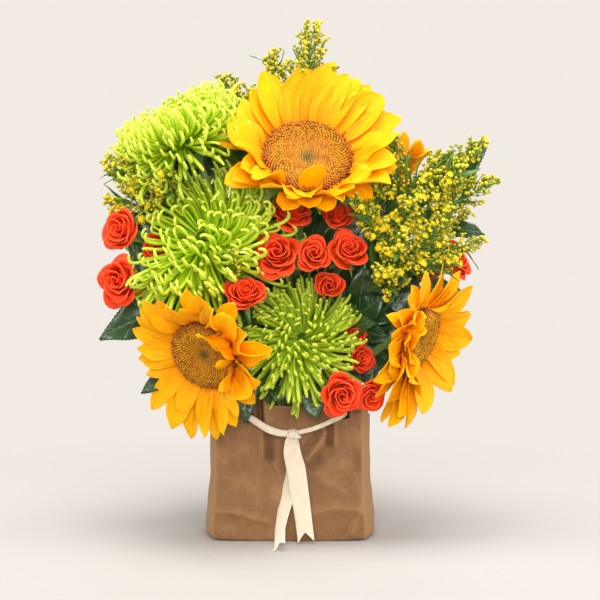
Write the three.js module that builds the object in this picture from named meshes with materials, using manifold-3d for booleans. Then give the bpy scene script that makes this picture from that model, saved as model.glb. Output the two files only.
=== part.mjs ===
// A mixed flower bouquet that stands in a kraft paper bag: sunflowers, green spider
// chrysanthemums, orange spray roses, goldenrod and salal leaves. The stems stand in a
// glass of water inside the bag, and a cotton ribbon draws the bag's mouth together.
// Millimetres, +Z up, the front of the bouquet towards -Y, origin in the middle of the bag's base.
import * as THREE from "three";
import { ConvexGeometry } from "three/addons/geometries/ConvexGeometry.js";
import { mergeVertices } from "three/addons/utils/BufferGeometryUtils.js";
import Module from "manifold-3d";

const wasm = await Module();
wasm.setup();

// ---------------------------------------------------------------- driving sizes

const GAP = 0.6; // what separate pieces keep between them
const BAG_WALL = 1.2;
const GLASS = { outer: 36, inner: 33, height: 100, floor: 4 };
const WATER = { level: 70, holeDepth: 61 };
const RIBBON = { width: 16, thick: 0.9, gathered: 6.5, bunched: 2.2 };
const STEM_FOOT = 10; // height of the cut stem ends
const STEM_SPREAD = 27; // radius that the stems fill inside the glass
const STEM_SLOTS = 25;
const MUM_CORE = 0.21; // core radius as a share of the crown quills' length
const QUILL_RADIUS = 2.5;
const GOLDEN_ANGLE = Math.PI * (3 - Math.sqrt(5));

// place is the middle of the disc's back, facing the way the flower looks.
const SUNFLOWERS = {
  sunflower_top: { place: [15, -42, 334], facing: [0.1, -0.74, 0.66], disc: 39, petal: 56, petals: 22, seed: 11 },
  sunflower_left: { place: [-70, -88, 172], facing: [-0.47, -0.82, -0.33], disc: 30, petal: 43, petals: 20, seed: 12 },
  sunflower_right: { place: [109, -60, 184], facing: [0.83, -0.47, -0.28], disc: 26, petal: 46, petals: 20, seed: 13 },
  sunflower_back_right: { place: [64, 62, 312], facing: [0.5, 0.62, 0.6], disc: 26, petal: 42, petals: 15, seed: 14 },
  sunflower_back_left: { place: [-106, 54, 212], facing: [-0.75, 0.6, 0.25], disc: 26, petal: 42, petals: 15, seed: 15 },
};

// place is the receptacle that the quills stand on, reach the length of the outer quills.
const MUMS = {
  mum_top: { place: [-89, -16, 351], facing: [-0.42, 0.02, 0.9], reach: 68, crown: 52, spread: 118, seed: 21 },
  mum_middle: { place: [-74, -40, 260], facing: [-0.35, -0.7, 0.62], reach: 78, crown: 52, spread: 118, seed: 22 },
  mum_front: { place: [10, -58, 181], facing: [0, -0.9, 0.42], reach: 57, crown: 40, spread: 116, seed: 23 },
  mum_back_top: { place: [-38, 42, 343], facing: [0, 0.6, 0.8], reach: 56, crown: 42, spread: 106, seed: 24 },
  mum_back: { place: [10, 54, 200], facing: [0.05, 0.93, 0.35], reach: 58, crown: 42, spread: 106, seed: 25 },
};

// Each spray is one branched stem. Its blooms are [name, place of the bloom's rim, facing, radius];
// blooms of the same name grow against each other and are one body.
const ROSE_SPRAYS = {
  rose_spray_centre: [
    ["rose_centre", [-11, -70, 255], [-0.1, -0.9, 0.4], 20.5],
    ["rose_centre", [20.5, -71, 255], [0.1, -0.95, 0.3], 16],
    ["rose_centre", [50, -66, 258], [0.15, -0.82, 0.55], 18],
    ["rose_under_sunflower", [2, -47, 290], [0.3, -0.62, 0.72], 18],
    ["rose_behind_centre", [42, -42, 286], [0, -0.8, 0.6], 15],
    ["rose_shaded", [34, -54, 226], [0.1, -0.95, 0.2], 13.5],
  ],
  rose_spray_front: [
    ["rose_front", [-38, -84, 223], [0.05, -0.75, 0.65], 18],
  ],
  rose_spray_left: [
    ["rose_left_low", [-149, -48, 230], [-0.45, -0.88, 0.1], 20.5],
    ["rose_left_high", [-148, -38, 274], [-0.55, -0.8, 0.15], 19.5],
    ["rose_left_inner", [-117, -35, 258], [-0.1, -0.95, 0.3], 13.5],
  ],
  rose_spray_low: [
    ["rose_low_pair", [45, -82, 134.5], [0.1, -0.97, -0.2], 18.5],
    ["rose_low_pair", [69, -73, 133], [0.3, -0.9, -0.25], 15.5],
    ["rose_low_shaded", [62, -52, 162], [0.55, -0.8, 0.1], 14],
    ["rose_low_shaded", [58, -42, 182], [0.5, -0.85, 0.1], 13],
  ],
  rose_spray_right: [
    ["rose_right", [146, -18, 248], [0.6, -0.5, 0.6], 18],
    ["rose_right", [120, -24, 238], [0.2, -0.8, 0.5], 14],
    ["rose_back_right", [104, 60, 234], [0.75, 0.6, 0.2], 17],
  ],
  rose_spray_back: [
    ["rose_back_middle", [-45, 84, 262], [-0.3, 0.85, 0.4], 18.5],
    ["rose_back_middle", [-14, 90, 268], [0, 0.9, 0.4], 17],
    ["rose_back_high", [32, 86, 262], [0.3, 0.85, 0.3], 18.5],
    ["rose_back_low_left", [-58, 76, 172], [-0.4, 0.9, 0], 18],
    ["rose_back_low_right", [72, 70, 166], [0.5, 0.85, -0.1], 17],
  ],
};

// Each goldenrod stem forks into plumes: [where the plume starts, its tip, width of the plume].
const GOLDENRODS = {
  goldenrod_top: { fork: [2, 8, 330], seed: 31, plumes: [
    [[6, 12, 372], [20, 2, 452], 34], [[-24, 26, 360], [-58, 26, 408], 22], [[30, 22, 372], [40, 34, 404], 20]] },
  goldenrod_right_high: { fork: [80, -14, 270], seed: 32, plumes: [
    [[104, -16, 298], [170, -22, 349], 34], [[90, -20, 300], [93, -24, 356], 18], [[112, -18, 282], [182, -28, 316], 30]] },
  goldenrod_right_low: { fork: [70, -22, 222], seed: 33, plumes: [
    [[86, -44, 258], [108, -74, 306], 34], [[96, -40, 246], [168, -34, 264], 28], [[84, -50, 226], [76, -78, 240], 28]] },
  goldenrod_left: { fork: [-82, -6, 270], seed: 34, plumes: [
    [[-112, -18, 302], [-160, -30, 330], 24], [[-112, -14, 288], [-158, -28, 298], 20]] },
  goldenrod_back: { fork: [4, 40, 270], seed: 35, plumes: [
    [[60, 78, 235], [92, 104, 268], 26], [[-20, 72, 300], [-8, 110, 322], 26], [[-74, 60, 280], [-118, 84, 300], 26]] },
};

// Leaves are [base, tip, width, the way the upper face looks].
const LEAFY_STEMS = {
  leaves_left: { top: [-70, -26, 190], leaves: [
    [[-106, -34, 204], [-168, -34, 178], 36, [-0.2, -0.8, 0.5]],
    [[-92, -44, 152], [-129, -60, 134], 20, [-0.3, -0.8, 0.3]],
    [[-40, -49, 148], [-38, -58, 107], 19, [0, -1, 0.1]],
    [[-60, -34, 205], [-108, -52, 245], 24, [-0.3, -0.8, 0.5]]] },
  leaves_right: { top: [60, -20, 200], leaves: [
    [[16, -44, 142], [23, -57, 110], 22, [0, -1, 0.1]],
    [[132, 2, 300], [175, -2, 350], 32, [-0.3, -0.9, 0.3]],
    [[118, 10, 214], [160, 14, 216], 22, [0.1, -0.6, 0.8]],
    [[136, -2, 268], [171, -14, 266], 22, [0.1, -0.7, 0.7]]] },
  leaves_back: { top: [-6, 44, 250], leaves: [
    [[-58, 52, 146], [-92, 78, 124], 26, [-0.3, 0.9, 0.3]],
    [[-4, 50, 146], [-6, 82, 122], 28, [0, 0.9, 0.4]],
    [[50, 52, 144], [84, 80, 124], 26, [0.3, 0.9, 0.3]],
    [[-122, 24, 256], [-164, 32, 276], 28, [-0.3, 0.5, 0.8]],
    [[96, 44, 268], [138, 56, 290], 28, [0.4, 0.6, 0.6]]] },
};

// ---------------------------------------------------------------- materials

const matte = (color, roughness = 0.7) => new THREE.MeshStandardMaterial({ color, roughness, metalness: 0 });
const MATERIALS = {
  kraft_paper: matte(0xa9774a, 0.85),
  ribbon_cotton: matte(0xeadcc2, 0.9),
  glass: new THREE.MeshStandardMaterial({ color: 0xe8f2f2, roughness: 0.05, transparent: true, opacity: 0.35 }),
  water: new THREE.MeshStandardMaterial({ color: 0xdcebee, roughness: 0.02, transparent: true, opacity: 0.35 }),
  sunflower_petal: matte(0xffa80a, 0.6),
  sunflower_disc: matte(0x9a5410, 0.9),
  mum_quill: matte(0xa4d616, 0.55),
  rose_petal: matte(0xe8361a, 0.6),
  goldenrod: matte(0xb9b41e, 0.8),
  stem_green: matte(0x4f7a2c, 0.6),
  salal_leaf: matte(0x1f4a26, 0.45),
};

// ---------------------------------------------------------------- small geometry tools

const vector = (list) => new THREE.Vector3(...list);
const mix = THREE.MathUtils.lerp;
const radians = THREE.MathUtils.degToRad;
const centreOf = (points) => points.reduce((sum, p) => sum.add(p), new THREE.Vector3()).divideScalar(points.length);
const along = (point, direction, length) => point.clone().addScaledVector(direction, length);

// A random number source that gives the same draw every time.
function seeded(seed) {
  let state = seed * 2654435761;
  return () => {
    state = (state + 0x6d2b79f5) | 0;
    let t = Math.imul(state ^ (state >>> 15), 1 | state);
    t = (t + Math.imul(t ^ (t >>> 7), 61 | t)) ^ t;
    return ((t ^ (t >>> 14)) >>> 0) / 4294967296;
  };
}

// The solid inside a closed geometry.
function solidOf(geometry) {
  geometry.deleteAttribute("normal");
  geometry.deleteAttribute("uv");
  const merged = mergeVertices(geometry);
  const vertProperties = merged.getAttribute("position").array;
  const triVerts = new Uint32Array(merged.getIndex().array);
  return new wasm.Manifold(new wasm.Mesh({ numProp: 3, vertProperties, triVerts }));
}

// The mesh of a closed skin drawn over rings of equal size, which turn anticlockwise about the way they
// follow each other. A ring of one point is a tip; any other end is closed with a flat fan. From ring
// number turned on, the four-sided faces are split the other way.
function skinMesh(rings, turned = rings.length) {
  const starts = rings.map((_, r) => rings.slice(0, r).reduce((sum, ring) => sum + ring.length, 0));
  const sides = Math.max(...rings.map((ring) => ring.length));
  const faces = [];
  for (let r = 0; r + 1 < rings.length; r++) {
    for (let i = 0; i < sides; i++) {
      const at = (ring, step) => starts[ring] + (rings[ring].length > 1 ? (i + step) % sides : 0);
      const [near, far] = r < turned ? [0, 1] : [1, 0];
      if (rings[r].length > 1) faces.push([at(r, 0), at(r, 1), at(r + 1, far)]);
      if (rings[r + 1].length > 1) faces.push([at(r, near), at(r + 1, 1), at(r + 1, 0)]);
    }
  }
  const last = rings.length - 1;
  for (let i = 1; i + 1 < sides; i++) {
    if (rings[0].length > 1) faces.push([0, i + 1, i]);
    if (rings[last].length > 1) faces.push([starts[last], starts[last] + i, starts[last] + i + 1]);
  }
  return { points: rings.flat(), faces };
}

function meshSolid({ points, faces }) {
  return solidOf(new THREE.BufferGeometry().setFromPoints(points).setIndex(faces.flat()));
}

const skin = (rings) => meshSolid(skinMesh(rings));

// The rings of a tube with flat sides along a path; a radius of 0 ends it in a point.
function tubeRings(path, radii, sides) {
  let side = new THREE.Vector3();
  return path.map((point, i) => {
    const before = path[Math.max(i - 1, 0)];
    const after = path[Math.min(i + 1, path.length - 1)];
    const ahead = after.clone().sub(before).normalize();
    if (i === 0) side = Math.abs(ahead.z) < 0.9 ? new THREE.Vector3(0, 0, 1) : new THREE.Vector3(1, 0, 0);
    side = along(side, ahead, -side.dot(ahead)).normalize();
    const up = ahead.clone().cross(side);
    if (radii[i] === 0) return [point];
    return Array.from({ length: sides }, (_, k) => {
      const turn = (2 * Math.PI * k) / sides;
      return along(along(point, side, radii[i] * Math.cos(turn)), up, radii[i] * Math.sin(turn));
    });
  });
}

const tube = (path, radii, sides) => skin(tubeRings(path, radii, sides));

// The rings of a spike that stands on a triangle: three corners again at the bend, then the tip.
function spikeRings(corners, bend, radius, tip) {
  const middle = centreOf(corners);
  const ahead = bend.clone().sub(middle).normalize();
  const toCorner = corners[0].clone().sub(middle);
  const side = along(toCorner, ahead, -toCorner.dot(ahead)).normalize();
  const up = ahead.clone().cross(side);
  // The ring is turned to lie as near to the corners as it can, so the spike isn't twisted.
  const lead = corners.reduce((sum, p, k) => {
    const angle = Math.atan2(p.clone().sub(middle).dot(up), p.clone().sub(middle).dot(side)) - (2 * Math.PI * k) / 3;
    return sum.add(new THREE.Vector2(Math.cos(angle), Math.sin(angle)));
  }, new THREE.Vector2()).angle();
  const ring = [0, 1, 2].map((k) => {
    const turn = lead + (2 * Math.PI * k) / 3;
    return along(along(bend, side, radius * Math.cos(turn)), up, radius * Math.sin(turn));
  });
  return [ring, [tip]];
}

// Lets a petal, quill or bud grow out of each loop of a mesh. waysOut(corners, number) yields the
// rings of each way it could take; the first clear one is taken, or the loop stays a plain face.
function sprout(node, { points, loops, faces = [] }, material, waysOut) {
  const grownPoints = [...points];
  const grownFaces = [...faces];
  const outers = [];
  loops.forEach((loop, number) => {
    const corners = loop.map((index) => points[index]);
    for (const rings of waysOut(corners, number)) {
      const solid = skin([corners, ...rings]);
      const outer = skin([corners.map((p, k) => p.clone().lerp(rings[0][k], 0.2)), ...rings]);
      const box = outer.boundingBox();
      const crossed = outers.some((other) => !boxesApart(other.box, box) && other.solid.minGap(outer, 0.1) < 0.05);
      if (crossed || !isClear(solid, node)) continue;
      outers.push({ solid: outer, box });
      add(node, solid, material, false);
      rings.reduce((below, ring) => {
        const start = grownPoints.length;
        grownPoints.push(...ring);
        const above = loop.map((_, k) => start + (ring.length > 1 ? k : 0));
        loop.forEach((_, k) => {
          const next = (k + 1) % loop.length;
          grownFaces.push([below[k], below[next], above[next]]);
          if (ring.length > 1) grownFaces.push([below[k], above[next], above[k]]);
        });
        return above;
      }, loop);
      return;
    }
    for (let k = 1; k + 1 < loop.length; k++) grownFaces.push([loop[0], loop[k], loop[k + 1]]);
  });
  add(node, meshSolid({ points: grownPoints, faces: grownFaces }), material);
}

// A matrix that puts a flower drawn round +Z at its place, looking the way it faces.
function standing(place, facing) {
  const z = vector(facing).normalize();
  const x = new THREE.Vector3(0, 0, 1).cross(z).normalize();
  return new THREE.Matrix4().makeBasis(x, z.clone().cross(x), z).setPosition(vector(place));
}

const inWorld = (rings, frame) => rings.map((ring) => ring.map((p) => p.clone().applyMatrix4(frame)));

// ---------------------------------------------------------------- what is already in place

const pieces = []; // every closed piece so far, with the node that it belongs to
const nodes = new Map(); // node name to its material

function boxesApart(a, b) {
  return [0, 1, 2].some((k) => a.min[k] - b.max[k] > GAP || b.min[k] - a.max[k] > GAP);
}

function isClear(solid, node) {
  const box = solid.boundingBox();
  return pieces.every(
    (other) => other.node === node || boxesApart(other.box, box) || solid.minGap(other.solid, GAP) >= GAP,
  );
}

// Takes a solid in; growing is false where it only marks room that a solid added later fills.
function add(node, solid, material, growing = true) {
  pieces.push({ node, solid, growing, box: solid.boundingBox() });
  if (!nodes.has(node)) nodes.set(node, material);
}

// Adds the first of the candidate solids that is clear of every other node.
function addFirstClear(node, candidates, material) {
  for (const solid of candidates) {
    if (!isClear(solid, node)) continue;
    add(node, solid, material);
    return true;
  }
  return false;
}

// Grows a tube from one point to another; it sways further and further until its way is clear.
// lead is the path before it, and flare the [distance, radius] of the cup past its end.
function grow(node, material, way) {
  const { lead = [], from, leaving, to, arriving, flare = [], radius, end, steps, sides, seed, tries = 400 } = way;
  const random = seeded(seed);
  const span = from.distanceTo(to);
  const sway = (amount) => new THREE.Vector3(random() - 0.5, random() - 0.5, random() - 0.5).multiplyScalar(amount);
  for (let attempt = 0; attempt < tries; attempt++) {
    const loose = attempt / tries;
    const first = along(from, leaving, span * (0.36 + (random() - 0.4) * loose)).add(sway(span * loose));
    const second = along(to, arriving, -span * (0.34 + (random() - 0.5) * loose)).add(sway(span * loose));
    const path = [...lead, ...new THREE.CubicBezierCurve3(from, first, second, to).getPoints(steps)];
    const radii = path.map((_, i) => mix(radius, end, i / (path.length - 1)));
    flare.forEach(([distance, wide]) => {
      path.push(along(to, arriving, distance));
      radii.push(wide);
    });
    const solid = tube(path, radii, sides);
    if (!isClear(solid, node)) continue;
    add(node, solid, material);
    return true;
  }
  return false;
}

// ---------------------------------------------------------------- bag, glass and ribbon

// [x, y, height of the rim] at the folds and panel points, anticlockwise from the front left corner.
const BAG_OUTLINE = [
  [-67, -45, 124], [-35, -46, 130], [-14, -46, 120], [8, -46, 119], [28, -46, 119], [47, -46, 122], [68, -45, 117],
  [74, -24, 109], [77, 0, 107], [74, 24, 110], [67, 45, 122], [24, 46, 117], [-22, 46, 119], [-67, 45, 123],
  [-74, 24, 112], [-77, 0, 108], [-74, -24, 112],
];
const PLEATS = [0, 3.4, 0.6, 1.6, 0.6, 3.4, 0, 0, -3.5, 0, 0, -2, -2, 0, 0, 3.5, 0];
// [share of the height, width and depth against the outline, share of the pleats]
const BAG_LEVELS = [
  [0, 0.965, 0.97, 0], [0.09, 1, 1, 0], [0.5, 1.005, 0.99, 0.3], [0.88, 0.985, 0.95, 1], [1, 0.99, 0.92, 0.9],
];
const SLITS = [[-36.5, 109.4], [47.5, 112.4]];

function bagRing([share, wide, deep, pleated], inset) {
  return BAG_OUTLINE.map(([x, y, rim], i) => {
    const folded = i % 8 === 0 && i > 0 ? pleated * Math.abs(PLEATS[i]) : 0;
    const drawn = Math.abs(y) > 40 ? pleated * PLEATS[i] : 0;
    const px = x * wide - Math.sign(x) * folded;
    const py = y * deep + drawn;
    const floor = share === 0 ? inset : 0;
    return new THREE.Vector3(px * (1 - inset / 68), py * (1 - inset / 44), share * rim + floor);
  });
}

function makeBag() {
  const outside = BAG_LEVELS.map((level) => bagRing(level, 0));
  const inside = BAG_LEVELS.map((level) => bagRing(level, BAG_WALL)).reverse();
  let bag = meshSolid(skinMesh([...outside, ...inside], outside.length)); // both sides of the paper crease alike
  for (const [x, z] of SLITS) {
    bag = bag.subtract(solidOf(new THREE.BoxGeometry(11, 16, 11)).translate([x, -42, z]));
  }
  return bag;
}

const ball = (radius) => solidOf(new THREE.IcosahedronGeometry(radius, 1));

// A round solid over a profile of [radius, height], from its bottom to its top.
function lathe(profile, sides) {
  return skin(profile.map(([radius, z]) => {
    if (radius === 0) return [new THREE.Vector3(0, 0, z)];
    return Array.from({ length: sides }, (_, i) => {
      const turn = (2 * Math.PI * i) / sides;
      return new THREE.Vector3(radius * Math.cos(turn), radius * Math.sin(turn), z);
    });
  }));
}

const GLASS_FOOT = BAG_WALL + 0.4;

function makeGlass() {
  const { outer, inner, height, floor } = GLASS;
  return lathe([
    [outer - 2, GLASS_FOOT], [outer, GLASS_FOOT + 2], [outer, height], [inner, height], [inner, GLASS_FOOT + floor],
  ], 20);
}

// A flat strip along a path; across gives the direction of its width at each point.
function strip(path, across, width, thick) {
  const rings = path.map((point, i) => {
    const ahead = path[Math.min(i + 1, path.length - 1)].clone().sub(path[Math.max(i - 1, 0)]).normalize();
    const side = along(across[i], ahead, -across[i].dot(ahead)).normalize();
    const face = ahead.clone().cross(side);
    return [[1, 1], [-1, 1], [-1, -1], [1, -1]].map(([a, b]) =>
      along(along(point, side, (a * width) / 2), face, (b * thick) / 2));
  });
  return skin(rings);
}

const KNOT = [2.6, -53.5, 96.5];
// The part that goes in at the left slit, round the stems inside the bag and out at the right slit.
const DRAWSTRING = [
  [1, -53, 97], [-12, -50.5, 98.5], [-25, -48.6, 103.5], [-33, -45.6, 108.4], [-36.5, -41, 109.8], [-42, -24, 110],
  [-36, 18, 110], [-16, 36, 110], [16, 36, 110], [38, 18, 110], [48, -10, 111], [50, -30, 112],
  [48, -40, 112.6], [44.5, -45.2, 111.6], [35, -48.6, 107], [21, -50.6, 101], [4, -53, 97],
];
const TAILS = [
  { path: [[2, -54, 94], [2, -55.5, 80], [5, -55.6, 60], [9, -56, 38], [12.5, -57.5, 18], [14.5, -62, 3]],
    lean: 0.05 },
  { path: [[2, -51.5, 94], [-1, -46.8, 66], [-4, -47.3, 32], [-7, -54, 9], [-10, -72, 1.5], [-13, -93, 1.3]],
    lean: -0.1 },
];

function makeRibbon() {
  const loop = DRAWSTRING.map(vector);
  const upright = loop.map(() => new THREE.Vector3(0, 0, 1));
  const parts = [strip(loop, upright, RIBBON.gathered, RIBBON.bunched)];
  parts.push(solidOf(new THREE.OctahedronGeometry(1, 1)).scale([7.6, 4.8, 6.8]).translate(KNOT));
  for (const { path, lean } of TAILS) {
    const points = path.map(vector);
    const across = points.map(() => new THREE.Vector3(1, lean, lean));
    const end = points[points.length - 1];
    const ahead = end.clone().sub(points[points.length - 2]).normalize();
    const side = new THREE.Vector3(1, 0, 0);
    const face = ahead.clone().cross(side).multiplyScalar(6);
    const corners = [along(end, ahead, -8), along(along(end, ahead, 2), side, 8), along(along(end, ahead, 2), side, -8)];
    const notch = corners.flatMap((p) => [p.clone().add(face), p.clone().sub(face)]);
    parts.push(strip(points, across, RIBBON.width, RIBBON.thick).subtract(solidOf(new ConvexGeometry(notch))));
  }
  return wasm.Manifold.union(parts);
}

// ---------------------------------------------------------------- parts of the flowers

// A leaf: diamond sections along a path, the last point its tip.
function leafBlade(path, widths, thick, upper) {
  const last = path.length - 1;
  const rings = path.map((point, i) => {
    if (i === last) return [point];
    const ahead = path[i + 1].clone().sub(path[Math.max(i - 1, 0)]).normalize();
    const up = along(upper, ahead, -upper.dot(ahead)).normalize();
    const side = up.clone().cross(ahead);
    const half = widths[i] / 2;
    return [
      along(point, side, half), along(point, up, thick / 2),
      along(point, side, -half), along(point, up, -thick / 2),
    ];
  });
  return skin(rings);
}

// The rings of a ray petal that grows out of the rim of its flower, in the flower's own frame.
function petalRings(corners, rise, bend, length, width) {
  const root = centreOf(corners);
  const out = root.clone().setZ(0).normalize();
  const side = new THREE.Vector3(-out.y, out.x, 0);
  let point = root;
  const sections = [[0.45, width], [0.36, width * 0.8], [0.19, 0]].map(([share, wide], i) => {
    const angle = radians(rise + (bend * i) / 2);
    const heading = out.clone().multiplyScalar(Math.cos(angle)).setZ(Math.sin(angle));
    const face = heading.clone().cross(side);
    point = along(point, heading, share * length);
    if (wide === 0) return [point];
    return [[-1, -1], [1, -1], [1, 1], [-1, 1]].map(([a, b]) => along(along(point, side, (a * wide) / 2), face, b * 0.6));
  });
  return sections;
}

// The disc: rings of florets, every other one raised, round a lower green middle.
function discSolid(radius, frame) {
  const sides = 16;
  const rings = [[0.94, 0, 0], [1, 3, 0.4], [0.84, 7, 1], [0.56, 8, 1.3], [0.28, 6.2, 0.8]].map(
    ([share, z, bump], r) => Array.from({ length: sides }, (_, i) => {
      const turn = (2 * Math.PI * (i + (r % 2) / 2)) / sides;
      const raised = i % 2 ? bump : -bump;
      return new THREE.Vector3(radius * share * Math.cos(turn), radius * share * Math.sin(turn), z + raised);
    }),
  );
  rings[0].forEach((p) => p.setZ(0));
  return skin([...inWorld(rings, frame), [new THREE.Vector3(0, 0, 5).applyMatrix4(frame)]]);
}

// The green back of a sunflower, with pointed bracts, down to where the stem joins it.
function calyxSolid(radius, frame) {
  const points = 8;
  const rings = [[0.2, 0.2, -13], [1.1, 0.84, -4.4], [1.0, 0.8, -3.2]].map(([out, back, z]) =>
    Array.from({ length: points * 2 }, (_, i) => {
      const turn = (Math.PI * i) / points;
      const reach = radius * (i % 2 ? back : out);
      return new THREE.Vector3(reach * Math.cos(turn), reach * Math.sin(turn), z);
    }));
  return skin(inWorld(rings, frame));
}

// A rose bloom: ruffled rings of petals, one inside the other.
function roseSolid(radius, frame, seed) {
  const random = seeded(seed);
  const sides = 10;
  const profile = [[0.3, -0.72, 0], [0.84, -0.38, 0.05], [1, 0.12, 0.14], [0.78, 0.3, 0.08], [0.66, 0.12, 0.04],
    [0.48, 0.46, 0.06], [0.28, 0.22, 0.03]];
  const rings = profile.map(([share, z, ruffle], r) => {
    const layer = Math.floor(r / 2);
    return Array.from({ length: sides }, (_, i) => {
      const turn = (2 * Math.PI * i) / sides + 0.12 * layer;
      const wave = ruffle * ((i + layer) % 2 ? 1 : -1) + ruffle * (random() - 0.5);
      const reach = radius * share * (1 + wave * 0.6);
      return new THREE.Vector3(reach * Math.cos(turn), reach * Math.sin(turn), radius * (z + wave * 0.7));
    });
  });
  rings[0].forEach((p) => p.setZ(-0.72 * radius));
  return skin([...inWorld(rings, frame), [new THREE.Vector3(0, 0, 0.5 * radius).applyMatrix4(frame)]]);
}

// ---------------------------------------------------------------- arranging

const stems = []; // what each stem has to reach, in the order in which the stems are grown

// The plate under the disc, with one loop on its rim for each petal.
function petalPlate(radius, petals, frame) {
  const ring = (z) => Array.from({ length: petals }, (_, i) => {
    const turn = (2 * Math.PI * i) / petals;
    return new THREE.Vector3((radius + 1.5) * Math.cos(turn), (radius + 1.5) * Math.sin(turn), z).applyMatrix4(frame);
  });
  const mesh = skinMesh([ring(-2.5), ring(-0.7)]);
  const loops = Array.from({ length: petals }, (_, i) => {
    const next = (i + 1) % petals;
    return [i, next, petals + next, petals + i];
  });
  return { points: mesh.points, loops, faces: mesh.faces.slice(2 * petals), whole: meshSolid(mesh) };
}

function arrangeSunflowers() {
  for (const [name, { place, facing, disc, petals }] of Object.entries(SUNFLOWERS)) {
    const frame = standing(place, facing);
    add(`${name}_disc`, discSolid(disc, frame), "sunflower_disc");
    add(`${name}_petals`, petalPlate(disc, petals, frame).whole, "sunflower_petal", false);
    add(`${name}_stem`, calyxSolid(disc, frame), "stem_green");
    const back = vector(facing).normalize().negate();
    const to = along(vector(place), back, 11);
    stems.push({ node: `${name}_stem`, to, arriving: back.clone().negate(), radius: 4.2, end: 3.4, sides: 6 });
  }
}

function arrangeMums() {
  for (const [name, { place, facing, crown }] of Object.entries(MUMS)) {
    const core = crown * MUM_CORE;
    add(name, ball(core).transform(standing(place, facing).elements), "mum_quill", false);
    const arriving = vector(facing).normalize();
    const to = along(vector(place), arriving, -core - 9);
    const flare = [[6, core * 0.8], [8.2, core * 0.7]];
    stems.push({ node: `${name}_stem`, to, arriving, flare, radius: 2.8, end: 2.3, sides: 6 });
  }
}

function arrangeRoses() {
  Object.entries(ROSE_SPRAYS).forEach(([spray, blooms], index) => {
    const ends = blooms.map(([name, place, facing, radius], i) => {
      add(name, roseSolid(radius, standing(place, facing), index * 10 + i + 1), "rose_petal");
      const arriving = vector(facing).normalize();
      const to = along(vector(place), arriving, -0.72 * radius - 8);
      return { to, arriving, flare: [[6, radius * 0.5], [7.3, radius * 0.42]], sides: 4 };
    });
    const middle = centreOf(ends.map((end) => end.to));
    const fork = new THREE.Vector3(middle.x * 0.5, middle.y * 0.3, mix(112, middle.z, 0.42));
    const arriving = middle.clone().sub(fork).normalize();
    stems.push({ node: `${spray}_stem`, to: fork, arriving, radius: 2.4, end: 2, sides: 5, ends, bud: 1.5 });
  });
}

function arrangeGoldenrods() {
  for (const [name, { fork, plumes, seed }] of Object.entries(GOLDENRODS)) {
    const ends = plumes.map(([start, tip]) => ({
      to: vector(start), arriving: vector(tip).sub(vector(start)).normalize(), sides: 3,
    }));
    stems.push({ node: name, to: vector(fork), arriving: new THREE.Vector3(0, 0, 1), radius: 2, end: 1.7, sides: 5,
      ends, bud: 1.2, material: "goldenrod", seed });
  }
}

function arrangeLeafyStems() {
  for (const [name, { top }] of Object.entries(LEAFY_STEMS)) {
    const to = vector(top);
    stems.push({ node: name, to, arriving: new THREE.Vector3(to.x, to.y, 60).normalize(), radius: 2.1, end: 1.8,
      sides: 5, material: "salal_leaf" });
  }
}

// The feet fill the glass like seeds in a head; each stem takes the nearest foot that gives it a clear way.
function growStems() {
  const free = Array.from({ length: STEM_SLOTS }, (_, i) => {
    const reach = STEM_SPREAD * Math.sqrt((i + 0.5) / STEM_SLOTS);
    return [reach * Math.cos(i * GOLDEN_ANGLE), reach * Math.sin(i * GOLDEN_ANGLE)];
  });
  const feet = [];
  const up = new THREE.Vector3(0, 0, 1);
  stems.forEach((stem, index) => {
    const wanted = [stem.to.x * 0.2, stem.to.y * 0.28];
    free.sort((a, b) => Math.hypot(a[0] - wanted[0], a[1] - wanted[1]) - Math.hypot(b[0] - wanted[0], b[1] - wanted[1]));
    const random = seeded(700 + index);
    const shift = () => (stem.ends || stem.material ? (random() - 0.5) * 40 : 0);
    let chosen = -1;
    for (let attempt = 0; chosen < 0 && attempt < 60; attempt++) {
      const loose = attempt / 60;
      const to = stem.to.clone().add(new THREE.Vector3(shift(), shift(), shift()).multiplyScalar(loose));
      const foot = attempt % Math.min(8, free.length);
      const [x, y] = free[foot];
      const grown = grow(stem.node, stem.material ?? "stem_green", {
        lead: [new THREE.Vector3(x, y, STEM_FOOT)], from: new THREE.Vector3(x, y, GLASS.height - 2), leaving: up, to,
        arriving: stem.arriving, flare: stem.flare, radius: stem.radius, end: stem.end, steps: 4, sides: stem.sides,
        seed: 50 + index * 100 + attempt, tries: 60,
      });
      if (!grown) continue;
      chosen = foot;
      stem.to = to;
    }
    if (chosen < 0) throw new Error(`${stem.node} finds no clear way up from the glass`);
    const [[x, y]] = free.splice(chosen, 1);
    feet.push({ x, y, radius: stem.radius, sides: stem.sides });
  });
  return feet;
}

function growBranches() {
  stems.forEach((stem, index) => (stem.ends ?? []).forEach((end, i) => {
    const grown = grow(stem.node, stem.material ?? "stem_green", {
      from: along(stem.to, stem.arriving, -1.5), leaving: stem.arriving, to: end.to, arriving: end.arriving,
      flare: end.flare, radius: stem.bud + 0.3, end: stem.bud, steps: 2, sides: end.sides, seed: 90 + index * 10 + i,
    });
    if (!grown) throw new Error(`branch ${i} of ${stem.node} finds no clear way`);
  }));
}

// The water round the stems: each stands in a plain hole.
function makeWater(feet) {
  const bottom = GLASS_FOOT + GLASS.floor + 0.4;
  const water = lathe([[GLASS.inner - 0.5, bottom], [GLASS.inner - 0.5, WATER.level]], 20);
  const holes = feet.map(({ x, y, radius, sides }) => {
    const path = [new THREE.Vector3(x, y, WATER.level - WATER.holeDepth), new THREE.Vector3(x, y, WATER.level + 1)];
    return tube(path, [radius + 0.6, radius + 0.6], sides);
  });
  return water.subtract(wasm.Manifold.union(holes));
}

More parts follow.
